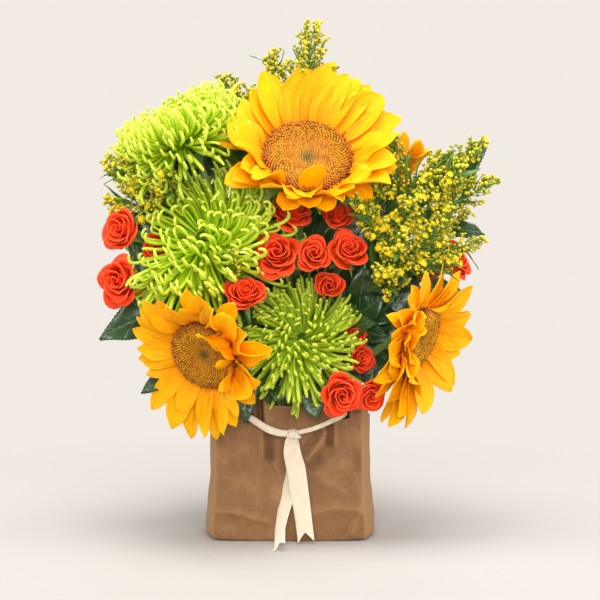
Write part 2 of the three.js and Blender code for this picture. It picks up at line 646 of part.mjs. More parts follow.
// Ways to bend a petal, quill or leaf clear: [share of its length, turn, lift], the natural one first.
const BENDS = [1, 0.85, 0.7, 0.55, 0.42].flatMap((share) => [
  [share, 0, 0], [share, 0, 10], [share, 0, -10], [share, 5, 4], [share, -5, 4], [share, 0, 24], [share, 0, -24], [share, 9, 14],
  [share, -9, 14], [share, 0, 40],
]);

// Every other petal rises more, so the petals stand in two rows.
function growPetals() {
  for (const [name, { place, facing, disc, petal, petals, seed }] of Object.entries(SUNFLOWERS)) {
    const frame = standing(place, facing);
    const local = frame.clone().invert();
    const random = seeded(seed);
    const spacing = (2 * Math.PI * (disc + petal * 0.42)) / petals;
    sprout(`${name}_petals`, petalPlate(disc, petals, frame), "sunflower_petal", function* (corners, number) {
      const length = petal * (0.88 + 0.2 * random());
      const rise = (number % 2 ? 34 : 17) + 10 * (random() - 0.5);
      const bend = -20 + 24 * (random() - 0.5);
      const width = Math.min(petal * 0.38, spacing * 0.96);
      const flat = corners.map((p) => p.clone().applyMatrix4(local));
      for (const [share, , lift] of BENDS) {
        yield inWorld(petalRings(flat, rise + lift, bend, length * share, width), frame);
      }
    });
  }
}

// A quill stands on every face of the core but those round the stem. It leans outward the further it
// is from the middle, and its tip hooks back in.
function growQuills() {
  for (const [name, { place, facing, reach, crown, spread, seed }] of Object.entries(MUMS)) {
    const random = seeded(seed);
    const frame = standing(place, facing);
    const local = frame.clone().invert();
    sprout(name, ballMesh(crown * MUM_CORE, frame), "mum_quill", function* (corners) {
      const root = centreOf(corners).applyMatrix4(local);
      const polar = root.angleTo(new THREE.Vector3(0, 0, 1));
      const turn = Math.atan2(root.y, root.x);
      const far = polar / radians(spread);
      if (far > 1) return;
      const length = mix(crown, reach, far) * (0.86 + 0.24 * random());
      const hook = radians(mix(20, 80, random()));
      for (const [share, aside, lift] of BENDS) {
        const heading = (angle, way) => new THREE.Vector3().setFromSphericalCoords(1, angle, way);
        const lean = polar + radians(18 * far - lift * 0.8);
        const way = Math.PI / 2 - turn + radians(aside * 1.5);
        const toFrame = (p) => new THREE.Vector3(p.x, p.z, p.y);
        const bend = root.clone().add(toFrame(heading(lean, way)).multiplyScalar(length * share * 0.8));
        const tip = bend.clone().add(toFrame(heading(lean - hook, way)).multiplyScalar(length * share * 0.2));
        yield spikeRings(corners, bend.applyMatrix4(frame), QUILL_RADIUS, tip.applyMatrix4(frame));
      }
    });
  }
}

// The points of a ball and its faces as loops.
function ballMesh(radius, frame) {
  const ball = new THREE.IcosahedronGeometry(radius, 1).deleteAttribute("normal").deleteAttribute("uv");
  const merged = mergeVertices(ball.applyMatrix4(frame));
  const position = merged.getAttribute("position");
  const index = [...merged.getIndex().array];
  const points = Array.from({ length: position.count }, (_, i) => new THREE.Vector3().fromBufferAttribute(position, i));
  const loops = Array.from({ length: index.length / 3 }, (_, i) => index.slice(3 * i, 3 * i + 3));
  return { points, loops };
}

function growLeaves() {
  Object.entries(LEAFY_STEMS).forEach(([name, { top, leaves }], index) => leaves.forEach(([base, tip, width, upper], i) => {
    const random = seeded(400 + index * 10 + i);
    const candidates = (function* () {
      for (let attempt = 0; attempt < 400; attempt++) {
        const loose = attempt / 400;
        const sway = (amount) => new THREE.Vector3(random() - 0.5, random() - 0.5, random() - 0.5).multiplyScalar(amount * loose);
        const start = vector(base).add(sway(24));
        const end = vector(tip).add(sway(36));
        const up = vector(upper).normalize();
        const shares = [0, 0.24, 0.55, 0.82, 1];
        const blade = shares.map((t) => along(start.clone().lerp(end, t), up, 14 * t * (1 - t)));
        const ahead = blade[1].clone().sub(start).normalize();
        const foot = vector(top);
        const span = foot.distanceTo(start);
        const first = along(foot, ahead, span * 0.3).add(sway(span * 0.8));
        const second = along(start, ahead, -span * 0.4).add(sway(span * 0.8));
        const petiole = new THREE.CubicBezierCurve3(foot, first, second, start).getPoints(2).slice(0, 2);
        const widths = [2.6, 2.3, ...[0.12, 0.78, 1, 0.62, 0].map((w) => w * width * (1 - 0.3 * loose))];
        yield leafBlade([...petiole, ...blade], widths, 1.7, up);
      }
    })();
    if (!addFirstClear(name, candidates, "salal_leaf")) throw new Error(`leaf ${i} of ${name} finds no room`);
  }));
}

// A plume: a stem studded with buds all the way round, shorter towards the tip.
function growPlumes() {
  for (const [name, { plumes, seed }] of Object.entries(GOLDENRODS)) {
    for (const [start, tip, width] of plumes) {
      const random = seeded(seed + width);
      const from = vector(start);
      const to = vector(tip);
      const ahead = to.clone().sub(from).normalize();
      const span = from.distanceTo(to);
      const steps = Math.round(span / 21);
      let path = [];
      for (let attempt = 0; attempt < 200; attempt++) {
        const sway = new THREE.Vector3(random() - 0.5, random() - 0.5, random() - 0.5).multiplyScalar(attempt * 0.2);
        const trial = Array.from({ length: steps + 1 }, (_, i) =>
          along(from.clone().lerp(to, i / steps), ahead, i === 0 ? -3 : 0).addScaledVector(sway, (i / steps) ** 1.3));
        if (!isClear(tube(trial, trial.map(() => 1.6), 4), name)) continue;
        path = trial;
        break;
      }
      if (path.length === 0) throw new Error(`the plume at ${start} of ${name} finds no room`);
      const radii = path.map((_, i) => mix(1.5, 0.9, i / steps));
      const { points, faces } = skinMesh(tubeRings(path, radii, 4));
      sprout(name, { points, loops: faces }, "goldenrod", function* (corners, number) {
        const onSide = number < faces.length - 4;
        if (!onSide || number % 2) return;
        const root = centreOf(corners);
        const normal = corners[1].clone().sub(corners[0]).cross(corners[2].clone().sub(corners[0])).normalize();
        const share = root.clone().sub(from).dot(ahead) / span;
        const reach = (width / 2) * (1.2 - 0.7 * share) * (0.8 + 0.4 * random());
        const aside = normal.clone().cross(ahead).multiplyScalar((random() - 0.5) * 0.3);
        for (const [part, , lift] of BENDS) {
          const heading = normal.clone().add(aside).addScaledVector(ahead, 0.55 + lift * 0.03).normalize();
          const bend = along(root, heading, reach * part * 0.7);
          yield spikeRings(corners, bend, 2.6, along(along(bend, heading, reach * part * 0.35), ahead, 2));
        }
      });
    }
  }
}

// ---------------------------------------------------------------- the whole bouquet

add("paper_bag", makeBag(), "kraft_paper");
add("ribbon", makeRibbon(), "ribbon_cotton");
add("glass", makeGlass(), "glass");
arrangeSunflowers();
arrangeMums();
arrangeRoses();
arrangeGoldenrods();
arrangeLeafyStems();
const feet = growStems();
growBranches();
growPetals();
growLeaves();
growPlumes();
growQuills();
add("water", makeWater(feet), "water");

// The pieces of a node grow together; what doesn't reach the body is left out, hollows are filled.
function oneBody(solids) {
  const bodies = wasm.Manifold.union(solids).decompose();
  return bodies.reduce((most, body) => (body.volume() > most.volume() ? body : most)).simplify(0.18);
}

const bouquet = new THREE.Group();
bouquet.name = "bouquet";
for (const [name, material] of nodes) {
  const body = oneBody(pieces.filter((piece) => piece.node === name && piece.growing).map((piece) => piece.solid));
  const { vertProperties, triVerts } = body.getMesh();
  const geometry = new THREE.BufferGeometry();
  geometry.setAttribute("position", new THREE.BufferAttribute(vertProperties, 3));
  geometry.setIndex(new THREE.BufferAttribute(triVerts, 1));
  geometry.computeVertexNormals();
  const mesh = new THREE.Mesh(geometry, MATERIALS[material]);
  mesh.name = name;
  bouquet.add(mesh);
}

export default bouquet;
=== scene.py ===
"""A mixed flower bouquet that stands in a kraft paper bag.

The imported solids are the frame. Each section below makes one group of finer pieces round them,
in the order in which the bouquet is put together. Metres, +Z up, the front towards -Y.
"""

import math

import bmesh
import bpy
import numpy as np
from mathutils import Matrix, Vector, noise


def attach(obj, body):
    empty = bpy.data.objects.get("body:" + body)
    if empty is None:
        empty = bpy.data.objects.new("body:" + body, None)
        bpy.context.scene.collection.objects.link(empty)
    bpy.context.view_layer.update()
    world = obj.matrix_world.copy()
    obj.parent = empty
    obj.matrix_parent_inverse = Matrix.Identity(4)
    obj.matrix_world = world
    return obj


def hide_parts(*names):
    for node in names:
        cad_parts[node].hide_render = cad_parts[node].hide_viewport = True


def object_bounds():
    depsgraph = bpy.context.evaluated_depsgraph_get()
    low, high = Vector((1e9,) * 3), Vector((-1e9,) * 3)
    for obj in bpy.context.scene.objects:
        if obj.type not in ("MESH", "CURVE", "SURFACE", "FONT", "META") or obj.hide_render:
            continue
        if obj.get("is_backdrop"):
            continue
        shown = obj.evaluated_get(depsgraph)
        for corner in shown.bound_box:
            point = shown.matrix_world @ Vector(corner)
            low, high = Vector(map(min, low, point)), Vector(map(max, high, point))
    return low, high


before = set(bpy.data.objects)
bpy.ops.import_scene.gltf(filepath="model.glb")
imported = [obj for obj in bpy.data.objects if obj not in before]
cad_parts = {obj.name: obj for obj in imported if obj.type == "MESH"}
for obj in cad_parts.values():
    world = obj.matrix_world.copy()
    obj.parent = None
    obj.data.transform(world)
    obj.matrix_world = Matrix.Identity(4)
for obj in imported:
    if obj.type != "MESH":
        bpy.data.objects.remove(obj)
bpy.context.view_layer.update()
MM = 0.001

# ---------------------------------------------------------------- studio
# A pale seamless floor under soft light from both sides, seen almost level from a little above.
# Away from the bouquet the floor fades into the backdrop's colour, so that no horizon shows.

BACKDROP = (0.888, 0.831, 0.768)
FLOOR = (0.455, 0.442, 0.43)
VIEW_TARGET = Vector((8.7, 0, 209)) * MM
VIEW_DISTANCE = 1.6
VIEW_ELEVATION = math.radians(5)
LENS = 107.18
FLOOR_RADIUS = 60
FLOOR_FADES = (0.12, 0.6)  # metres from the middle where the floor starts and ends to fade
AMBIENT = 0.42  # share of the backdrop's light that reaches the bouquet
LIGHTS = [  # place, size, watts, colour
    ((-0.05, -0.42, 2.05), 1.2, 45, (1, 0.98, 0.95)),
    ((0.1, -1.8, 0.7), 1.2, 30, (1, 0.98, 0.95)),
    ((-1.5, 0, 0.55), 0.9, 13, (1, 0.98, 0.96)),
    ((1.5, 0, 0.55), 0.9, 14, (1, 0.98, 0.96)),
    ((0.1, 1.3, 1.5), 1.0, 9, (1, 0.98, 0.96)),
]


def put(tree, source, socket):
    """Links a source to a socket, or gives the socket a value; a colour comes without its alpha."""
    if isinstance(source, bpy.types.NodeSocket):
        tree.links.new(source, socket)
    elif socket.type == "RGBA":
        socket.default_value = (*source, 1)
    else:
        socket.default_value = source


def maker(tree, prefix="ShaderNode"):
    """The function that adds nodes to a tree; a kind without the word Node gets the prefix."""
    def add(kind, inputs=(), **settings):
        node = tree.nodes.new(kind if "Node" in kind else prefix + kind)
        for key, value in settings.items():
            setattr(node, key, value)
        for key, value in dict(inputs).items():
            put(tree, value, node.inputs[key])
        return node
    return add


def finish(name, **values):
    """A material whose shader has these values on its own sockets, and the maker of its nodes."""
    made = bpy.data.materials.new(name)
    made.use_nodes = True
    shader = made.node_tree.nodes["Principled BSDF"]
    for socket, value in values.items():
        put(made.node_tree, value, shader.inputs[socket.replace("_", " ")])
    return made, maker(made.node_tree)


def ambient(add):
    """Full strength for the backdrop that the camera sees, less for the light that it gives."""
    seen = add("LightPath").outputs["Is Camera Ray"]
    return add("MapRange", {"Value": seen, "To Min": AMBIENT}).outputs["Result"]


def shown(name, data):
    """A new object of the scene."""
    made = bpy.data.objects.new(name, data)
    bpy.context.scene.collection.objects.link(made)
    return made


def spot_of(add, way="Object"):
    """Where a point of the surface lies, in the object's metres or in its UV map."""
    return add("TexCoord").outputs[way]


camera_data = bpy.data.cameras.new("camera")
camera_data.lens = LENS
camera_data.sensor_width = 36
camera = shown("camera", camera_data)
back_off = Vector((0, -math.cos(VIEW_ELEVATION), math.sin(VIEW_ELEVATION)))
camera.location = VIEW_TARGET + VIEW_DISTANCE * back_off
camera.rotation_euler = (math.pi / 2 - VIEW_ELEVATION, 0, 0)
bpy.context.scene.camera = camera
bpy.context.scene.view_settings.view_transform = "Standard"

world = bpy.data.worlds.new("backdrop")
world.use_nodes = True
sky = world.node_tree
background = sky.nodes["Background"].inputs
put(sky, BACKDROP, background["Color"])
put(sky, ambient(maker(sky)), background["Strength"])
bpy.context.scene.world = world

for number, (place, size, watts, tint) in enumerate(LIGHTS):
    light = bpy.data.lights.new(f"softbox_{number}", "AREA")
    light.size = size
    light.energy = watts
    light.color = tint
    lamp = shown(light.name, light)
    lamp.location = place
    lamp.rotation_euler = (VIEW_TARGET - Vector(place)).to_track_quat("-Z", "Y").to_euler()

floor_paint, add = finish("studio_floor", Base_Color=FLOOR, Roughness=0.8)
nodes = floor_paint.node_tree.nodes
away = add("VectorMath", {0: spot_of(add)}, operation="LENGTH").outputs["Value"]
faded = add("MapRange", {"Value": away, "From Min": FLOOR_FADES[0], "From Max": FLOOR_FADES[1]},
            interpolation_type="SMOOTHSTEP")
glow = add("Emission", {"Color": BACKDROP, "Strength": ambient(add)})
both = add("MixShader", {
    0: faded.outputs["Result"], 1: nodes["Principled BSDF"].outputs["BSDF"], 2: glow.outputs["Emission"],
})
put(floor_paint.node_tree, both.outputs["Shader"], nodes["Material Output"].inputs["Surface"])
floor_mesh = bpy.data.meshes.new("studio_floor")
outline = bmesh.new()
bmesh.ops.create_circle(outline, cap_ends=True, radius=FLOOR_RADIUS, segments=96)
outline.to_mesh(floor_mesh)
outline.free()
floor_mesh.materials.append(floor_paint)
floor = shown("studio_floor", floor_mesh)
floor.location.z = -0.2 * MM
floor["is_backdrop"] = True

# ---------------------------------------------------------------- paper bag
# A block-bottom grocery bag of brown kraft paper, cut down, its mouth drawn in by the ribbon. It is
# one folded sheet: flat panels with sharp folds at the corners, two pleats where the ribbon goes
# through, and the creases of paper that has been opened and handled.

PAPER = 0.55 * MM
KRAFT = (0.2, 0.088, 0.0265)
KRAFT_LIGHT = (0.345, 0.18, 0.072)
KRAFT_DARK = (0.098, 0.04, 0.012)
# X, Y and rim height of the folds and panel points, anticlockwise from the front left corner, in mm
BAG_OUTLINE = np.array([
    (-68.5, -45.5, 124), (-38, -46, 137), (-19, -46, 120), (8, -46, 119), (28, -46, 119), (47, -46, 122),
    (67, -45.5, 117), (75, -24, 109), (77, 0, 107), (74, 24, 110), (67, 45, 122), (24, 46, 117),
    (-22, 46, 119), (-67, 45, 123), (-74, 24, 112), (-77, 0, 108), (-75, -24, 112),
])
CORNERS = (0, 6, 10, 13)
PLEATS = np.array([0, 3.4, 0.6, 1.6, 0.6, 3.4, 0, 0, 3.5, 0, 0, 2, 2, 0, 0, 3.5, 0])
# Share of the height, width and depth against the outline, share of the pleats
BAG_LEVELS = np.array([
    (0, 0.985, 0.99, 0), (0.03, 0.995, 1, 0), (0.12, 0.99, 1.01, 0), (0.25, 0.972, 1.015, 0),
    (0.45, 0.95, 0.96, 0.2), (0.75, 0.945, 0.96, 0.8), (0.88, 0.945, 0.955, 1), (1, 0.95, 0.92, 0.9),
])
CORNER_LIFT = 2.6  # how far the base curls up from the floor towards its corners
# Creases of the front panel: from x, z to x, z, how far the ridge stands out, how far it reaches
FRONT_CREASES = [
    (-22.5, 121, -22.5, 104, 2.2, 2.6), (-27, 126, -25.6, 105, -6.5, 5), (-24.6, 97, -24.2, 74, 1.6, 5),
    (-20, 96, -18, 74, -3.8, 7), (-24, 72, -12, 56, -1.6, 12), (-14, 70, -8, 54, 1.0, 7),
    (-27, 70, -29, 30, 0.7, 9), (40, 104, 39.5, 84, 2.4, 5), (35.2, 103, 35, 86, -4, 5),
    (39, 86, 30, 76, 1.4, 5), (31, 95, 15, 72, 2.6, 5), (37, 83, 18, 65, -3.4, 7),
    (25, 96, 13.6, 80, -2.4, 6), (60, 112, 70, 86, 1.8, 4), (66, 110, 71, 96, -1.2, 5),
    (48, 106, 57, 66, -1.2, 10), (-71, 26.5, -46, 25.6, 1.3, 6), (-46, 25.6, -31, 20.6, 1.5, 6),
    (-31, 20.6, -20, 18.6, 1.2, 6), (-52, 20, -44, 8, -1.2, 7), (18, 25, 39, 30, 1.4, 8),
    (39, 30, 66, 28.6, 1.2, 8), (57, 60, 65, 30, 0.9, 8), (62, 26, 54, 6, 1.5, 6),
    (58, 20, 48, 4, -1.3, 6), (-60, 96, -44, 64, -1.2, 12), (-62, 100, -52, 88, 0.9, 7),
    (-2, 50, 4, 12, 0.8, 10), (24, 60, 48, 44, 0.9, 9), (-58, 58, -34, 50, 0.7, 8),
]
FAINT_CREASES = 16  # random ones on each panel
FAINT_HEIGHT = (0.6, 0.5, 1, 0.5)  # how strong they are on the front, right, back and left panel
SLITS = [(-36.5, 109.4), (47.5, 112.4)]  # where the ribbon goes through the front, in mm
SLIT_HALF = (4.6, 4.4)  # half a slit's width and height
PANEL_DEPTH = 40  # further from the middle than this lie the front and the back panel
GRID_STEP = 1.35
BAG_ROWS = 92


def grid_faces(rows, columns, closed=False):
    """The four-sided faces of a grid of points; closed joins its last column to its first."""
    first = np.arange(rows - 1)[:, None] * columns + np.arange(columns if closed else columns - 1)[None, :]
    beside = first + 1
    if closed:
        beside[:, -1] = first[:, 0]
    return np.stack([first, beside, beside + columns, first + columns], -1).reshape(-1, 4)


def mark_points(mesh, name, numbers):
    """Stores one number for each point of a mesh."""
    mesh.attributes.new(name, "FLOAT", "POINT").data.foreach_set("value", np.asarray(numbers, float))


def build(name, points, faces, material, uvs=None, marks=()):
    """A smooth mesh at the origin. uvs has one pair a point; marks are (name, number a point)."""
    mesh = bpy.data.meshes.new(name)
    mesh.from_pydata([tuple(p) for p in points], [], [tuple(int(i) for i in f) for f in faces])
    if uvs is not None:
        corners = np.zeros(len(mesh.loops), int)
        mesh.loops.foreach_get("vertex_index", corners)
        mesh.uv_layers.new(name="UVMap").data.foreach_set("uv", np.asarray(uvs, float)[corners].ravel())
    for mark, numbers in dict(marks).items():
        mark_points(mesh, mark, numbers)
    mesh.materials.append(material)
    mesh.shade_smooth()
    return shown(name, mesh)


def thicken(piece, thickness, offset=0.0, levels=0):
    """Turns a single sheet into a closed one, after subdividing it."""
    if levels:
        smoother = piece.modifiers.new("smooth", "SUBSURF")
        smoother.levels = smoother.render_levels = levels
    wall = piece.modifiers.new("wall", "SOLIDIFY")
    wall.thickness = thickness
    wall.offset = offset


def place_piece(piece, slot, *nodes):
    """The piece rides with the bouquet and stands for these solids, which it hides. slot is not used."""
    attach(piece, "root")
    if nodes:
        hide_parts(*nodes)


def ramp(add, factor, stops):
    """Colours along a factor; stops are (position, colour)."""
    node = add("ValToRGB", {"Fac": factor})
    elements = node.color_ramp.elements
    while len(elements) < len(stops):
        elements.new(0.5)
    for element, (position, colour) in zip(elements, stops):
        element.position = position
        element.color = (*colour, 1)
    return node.outputs["Color"]


def fade(add, factor, start, end, last=1, first=0):
    """A grey that runs from first to last while a factor goes from start to end."""
    return ramp(add, factor, [(start, (first,) * 3), (end, (last,) * 3)])


def mixed(add, factor, first, second):
    """Two colours mixed by a factor."""
    return add("Mix", {0: factor, 6: first, 7: second}, data_type="RGBA").outputs[2]


def maths(add, way, *numbers):
    """The result of a Math node."""
    return add("ShaderNodeMath", dict(enumerate(numbers)), operation=way).outputs[0]


def marked(add, name):
    """A number that the mesh carries on its points."""
    return add("Attribute", attribute_name=name).outputs["Fac"]


def stretched(add, place, scale):
    """A pattern's place, drawn out or pressed together."""
    return add("Mapping", {"Vector": place, "Scale": scale}).outputs["Vector"]


def speckle(add, place, scale, detail, roughness=0.5):
    """A noise, from 0 to 1."""
    noisy = {"Vector": place, "Scale": scale, "Detail": detail, "Roughness": roughness}
    return add("TexNoise", noisy).outputs["Fac"]


def relief(add, height, strength, distance):
    """The bump that a height gives."""
    return add("Bump", {"Height": height, "Strength": strength, "Distance": distance}).outputs["Normal"]


def dress(material, colour, bump=None):
    """Gives a material's shader its colour and its bump, where it has them."""
    shader = material.node_tree.nodes["Principled BSDF"]
    for name, source in (("Base Color", colour), ("Normal", bump)):
        if source is not None:
            put(material.node_tree, source, shader.inputs[name])


def held(values):
    """Values kept between 0 and 1."""
    return np.clip(values, 0, 1)


def ridge(x, z, crease):
    """A straight crease on a panel: 1 on the fold itself, falling to 0 where its reach ends."""
    x0, z0, x1, z1, _, reach = crease
    run = np.array([x1 - x0, z1 - z0], float)
    share = held(((x - x0) * run[0] + (z - z0) * run[1]) / run.dot(run))
    off = np.hypot(x - x0 - share * run[0], z - z0 - share * run[1])
    return held(1 - off / reach)


def bag_columns():
    """Samples round the outline, each a place between the outline's numbered points."""
    sides = np.hypot(*(np.roll(BAG_OUTLINE, -1, 0) - BAG_OUTLINE)[:, :2].T)
    steps = [max(3, round(side / GRID_STEP)) for side in sides]
    return np.concatenate([i + np.arange(n) / n for i, n in enumerate(steps)])


def bag_grid(columns, shares):
    """Points of the bag's outside, rows up and columns round, in mm."""
    below = columns.astype(int)
    part = (columns - below)[:, None]
    after = (below + 1) % len(BAG_OUTLINE)
    ring = BAG_OUTLINE[below] * (1 - part) + BAG_OUTLINE[after] * part
    pleat = PLEATS[below] * (1 - part[:, 0]) + PLEATS[after] * part[:, 0]
    rows = []
    for share in shares:
        _, wide, deep, pleated = [np.interp(share, BAG_LEVELS[:, 0], BAG_LEVELS[:, k]) for k in range(4)]
        x = ring[:, 0] * wide
        y = ring[:, 1] * deep
        on_panel = np.abs(ring[:, 1]) > PANEL_DEPTH
        y = y - np.where(on_panel, np.sign(ring[:, 1]) * pleat * pleated, 0)
        x = x - np.where(on_panel, 0, np.sign(ring[:, 0]) * pleat * pleated)
        rows.append(np.stack([x, y, share * ring[:, 2]], 1))
    return np.array(rows)


def soften(grid, corners, passes):
    """Rounds a bag grid along its rows, but keeps the folds at the corners."""
    for _ in range(passes):
        round_off = (np.roll(grid, 1, 1) + 2 * grid + np.roll(grid, -1, 1)) / 4
        round_off[:, corners] = grid[:, corners]
        grid = round_off
    return grid


bag_random = np.random.default_rng(4)
columns = bag_columns()
shares = np.linspace(0, 1, BAG_ROWS)
corner_columns = [int(np.where(columns == c)[0][0]) for c in CORNERS]
bag = soften(bag_grid(columns, shares), corner_columns, 6)

# The creases push the sheet in and out along each panel's own direction.
bag_x, bag_y, bag_z = bag[..., 0], bag[..., 1], bag[..., 2]
side_of = np.searchsorted(CORNERS[1:], columns, "right")  # 0 front, 1 right, 2 back, 3 left
folded_in = np.isin(side_of, (1, 3))
push = np.zeros_like(bag_x)
wear = np.zeros_like(bag_x)
hollow = np.zeros_like(bag_x)
for side in range(4):
    across = bag_x if side in (0, 2) else bag_y
    creases = list(FRONT_CREASES) if side == 0 else []
    for _ in range(FAINT_CREASES):
        x0 = bag_random.uniform(-62, 62) * (1 if side in (0, 2) else 0.6)
        z0 = bag_random.uniform(6, 108)
        turn = bag_random.uniform(0, math.pi)
        run = bag_random.uniform(14, 46)
        height = bag_random.choice([-1, 1]) * bag_random.uniform(0.3, 0.9) * FAINT_HEIGHT[side]
        reach = bag_random.uniform(6, 14)
        creases.append((x0, z0, x0 + run * math.cos(turn), z0 + run * math.sin(turn), height, reach))
    for crease in creases:
        near = ridge(across, bag_z, crease) * (side_of == side)
        push += crease[4] * near
        wear = np.maximum(wear, held((near - 0.86) / 0.14) * min(1, abs(crease[4])))
        # Each crease also marks painted shade along its valley and painted light along its ridge.
        hollow -= 0.28 * crease[4] * near
gusset = held(1 - np.abs(bag_y) / 6) * folded_in
push -= 1.2 * gusset * held(shares[:, None] * 1.6 - 0.2)
wear = np.maximum(wear, 0.6 * (gusset > 0.8))
for column in corner_columns:
    gap = np.abs((np.arange(len(columns)) - column + len(columns) // 2) % len(columns) - len(columns) // 2)
    push *= held(gap / 4)[None, :]
    wear = np.maximum(wear, held(1.4 - gap)[None, :])
wear[-2:] = 1
# The side panels get painted light: their paper is mixed towards the light kraft colour.
hollow = np.where(folded_in, hollow - 0.9, hollow)
push *= held(shares[:, None] / 0.04)
for i, j in np.ndindex(push.shape):
    push[i, j] += 0.5 * noise.noise(Vector(bag[i, j]) / 17) * min(1, shares[i] / 0.05)
outward = np.stack([
    np.where(folded_in, np.sign(bag_x), 0), np.where(folded_in, 0, np.sign(bag_y)), np.zeros_like(bag_x),
], -1)
bag = bag + outward * push[..., None]
lift = CORNER_LIFT * held((np.abs(bag_x) - 18) / 55) ** 2 * held(1 - shares[:, None] / 0.25)
bag[..., 2] += lift - lift.min()

# The flat bottom closes the sheet with rings that shrink to its middle.
bottoms = [bag[0] * (k, k, k**3) for k in (0.03, 0.35, 0.7, 0.93)]
bag_points = np.concatenate([np.array(bottoms), bag])
rows, turns = bag_points.shape[:2]
bag_faces = grid_faces(rows, turns, closed=True)
middles = bag_points.reshape(-1, 3)[bag_faces].mean(1)
cut = np.zeros(len(bag_faces), bool)
for x, z in SLITS:
    off = np.abs(middles - (x, 0, z))
    cut |= (off[:, 0] < SLIT_HALF[0]) & (off[:, 2] < SLIT_HALF[1]) & (middles[:, 1] < -20)
bag_faces = [tuple(face) for face in bag_faces[~cut]] + [tuple(range(turns - 1, -1, -1))]
unmarked = np.zeros((len(bottoms), turns))
wear = np.concatenate([unmarked, wear])
hollow = np.concatenate([unmarked, hollow])

kraft, add = finish("kraft_paper", Roughness=0.72)
place = spot_of(add)
fibre = speckle(add, stretched(add, place, (1, 1, 0.22)), 900, 5, 0.7)
fleck = speckle(add, place, 2600, 2)
cloud = speckle(add, place, 26, 4, 0.6)
ribs = add("TexWave", {"Vector": place, "Scale": 340, "Distortion": 1.2, "Detail": 2}, bands_direction="X")
tint = ramp(add, cloud, [(0.3, KRAFT_LIGHT), (0.48, KRAFT), (0.75, KRAFT)])
tint = mixed(add, fade(add, fibre, 0.35, 0.75, 0.45), tint, KRAFT_LIGHT)
tint = mixed(add, fade(add, fleck, 0.63, 0.76, 0.8), tint, KRAFT_DARK)
tint = mixed(add, maths(add, "MULTIPLY", marked(add, "wear"), 0.55), tint, KRAFT_LIGHT)
# Painted shade and light: the dark kraft colour in the crease valleys, the light one on the ridges and the
# side panels.
painted_shading = marked(add, "hollow")
for start, end, most, shade in [(0.05, 1.1, 0.9, KRAFT_DARK), (-0.05, -1.0, 0.85, KRAFT_LIGHT)]:
    share = add("MapRange", {"Value": painted_shading, "From Min": start, "From Max": end, "To Max": most})
    tint = mixed(add, share.outputs["Result"], tint, shade)
height = maths(add, "ADD", fibre, maths(add, "MULTIPLY", ribs.outputs["Fac"], 0.35))
dress(kraft, tint, relief(add, height, 0.35, 0.0004))

paper_bag = build(
    "kraft_bag", bag_points.reshape(-1, 3) * MM, bag_faces, kraft,
    marks=[("wear", wear.ravel()), ("hollow", hollow.ravel())],
)
thicken(paper_bag, PAPER, offset=-1)
place_piece(paper_bag, "kraft_paper", "paper_bag")

# ---------------------------------------------------------------- glass and water
# A plain straight tumbler of clear pressed glass stands in the bag, two thirds full. The bag
# hides it; it shows only from above, between the stems.

GLASS_PROFILE = [  # radius, height, from the middle of the foot round to the middle of the inside
    (0, 0.9), (31, 0.7), (34.4, 1.6), (36, 4), (36, 98.6), (35.2, 100), (33.8, 100), (33, 98.6),
    (33, 8), (31, 5.8), (0, 5.6),
]
WATER_PROFILE = [(0, 6.2), (30.4, 6.4), (32.3, 8.6), (32.3, 70.8), (31.4, 70.2), (29, 70), (0, 70)]


def turned(name, profile, sides, material):
    """A round solid over a profile whose two ends lie on the axis, in mm."""
    turn = 2 * math.pi * np.arange(sides) / sides
    rings = [
        np.stack([radius * np.cos(turn), radius * np.sin(turn), np.full(sides, height)], 1)
        for radius, height in profile[1:-1]
    ]
    points = np.concatenate([*rings, [(0, 0, profile[0][1]), (0, 0, profile[-1][1])]])
    faces = grid_faces(len(rings), sides, closed=True).tolist()
    last = (len(rings) - 1) * sides
    start, end = len(points) - 2, len(points) - 1
    faces += [[start, (i + 1) % sides, i] for i in range(sides)]
    faces += [[end, last + i, last + (i + 1) % sides] for i in range(sides)]
    return build(name, points * MM, faces, material)


clear_glass, add = finish(
    "clear_glass", Base_Color=(0.93, 0.97, 0.96), Roughness=0.04, IOR=1.5, Transmission_Weight=1.0
)
streaks = speckle(add, spot_of(add), 30, 2)
dress(clear_glass, None, relief(add, streaks, 0.05, 0.001))
tumbler = turned("glass_tumbler", GLASS_PROFILE, 64, clear_glass)
place_piece(tumbler, "glass", "glass")

still_water, add = finish(
    "still_water", Base_Color=(0.86, 0.93, 0.90), Roughness=0.02, IOR=1.33, Transmission_Weight=1.0
)
ripple = speckle(add, spot_of(add), 60, 1)
dress(still_water, None, relief(add, ripple, 0.06, 0.001))
water = turned("vase_water", WATER_PROFILE, 64, still_water)
place_piece(water, "water", "water")

# ---------------------------------------------------------------- ribbon
# One length of 16 mm cream cotton tape. Gathered to a narrow cord, it goes in at the left slit,
# round the stems and out at the right one. A small knot ties it in front, and its two ends hang
# flat, with swallow-tail cuts.

TAPE = 0.5 * MM
TAPE_WIDTH = 16
COTTON = (0.85, 0.745, 0.6)
KNOT = np.array([2.6, -53.5, 96.5])
DRAWSTRING = [
    (1, -53.4, 97), (-6, -52.6, 96.8), (-13, -51.4, 98), (-20, -50.4, 100.6), (-26, -49.2, 104.2),
    (-32, -46.8, 107.6), (-36.3, -42, 109.6), (-42, -24, 110), (-41, 0, 110), (-36, 18, 110), (-16, 36, 110),
    (16, 36, 110), (38, 18, 110), (47, 0, 110.5), (48.5, -14, 111), (49.5, -30, 112), (48, -40, 112.6),
    (44.5, -45.6, 111.4), (38, -48.2, 108.2), (28, -50.2, 103.6), (17, -51.8, 99.8), (4, -53.4, 97),
]
# Shares of the gathered loop's length, from its left end to its right one, and its share of width there
LOOP_WIDTHS = ([0, 0.06, 0.13, 0.2, 0.76, 0.86, 0.9, 1], [0.8, 1, 0.95, 0.8, 0.8, 0.85, 0.6, 0.55])
LOOP_POINTS = 150
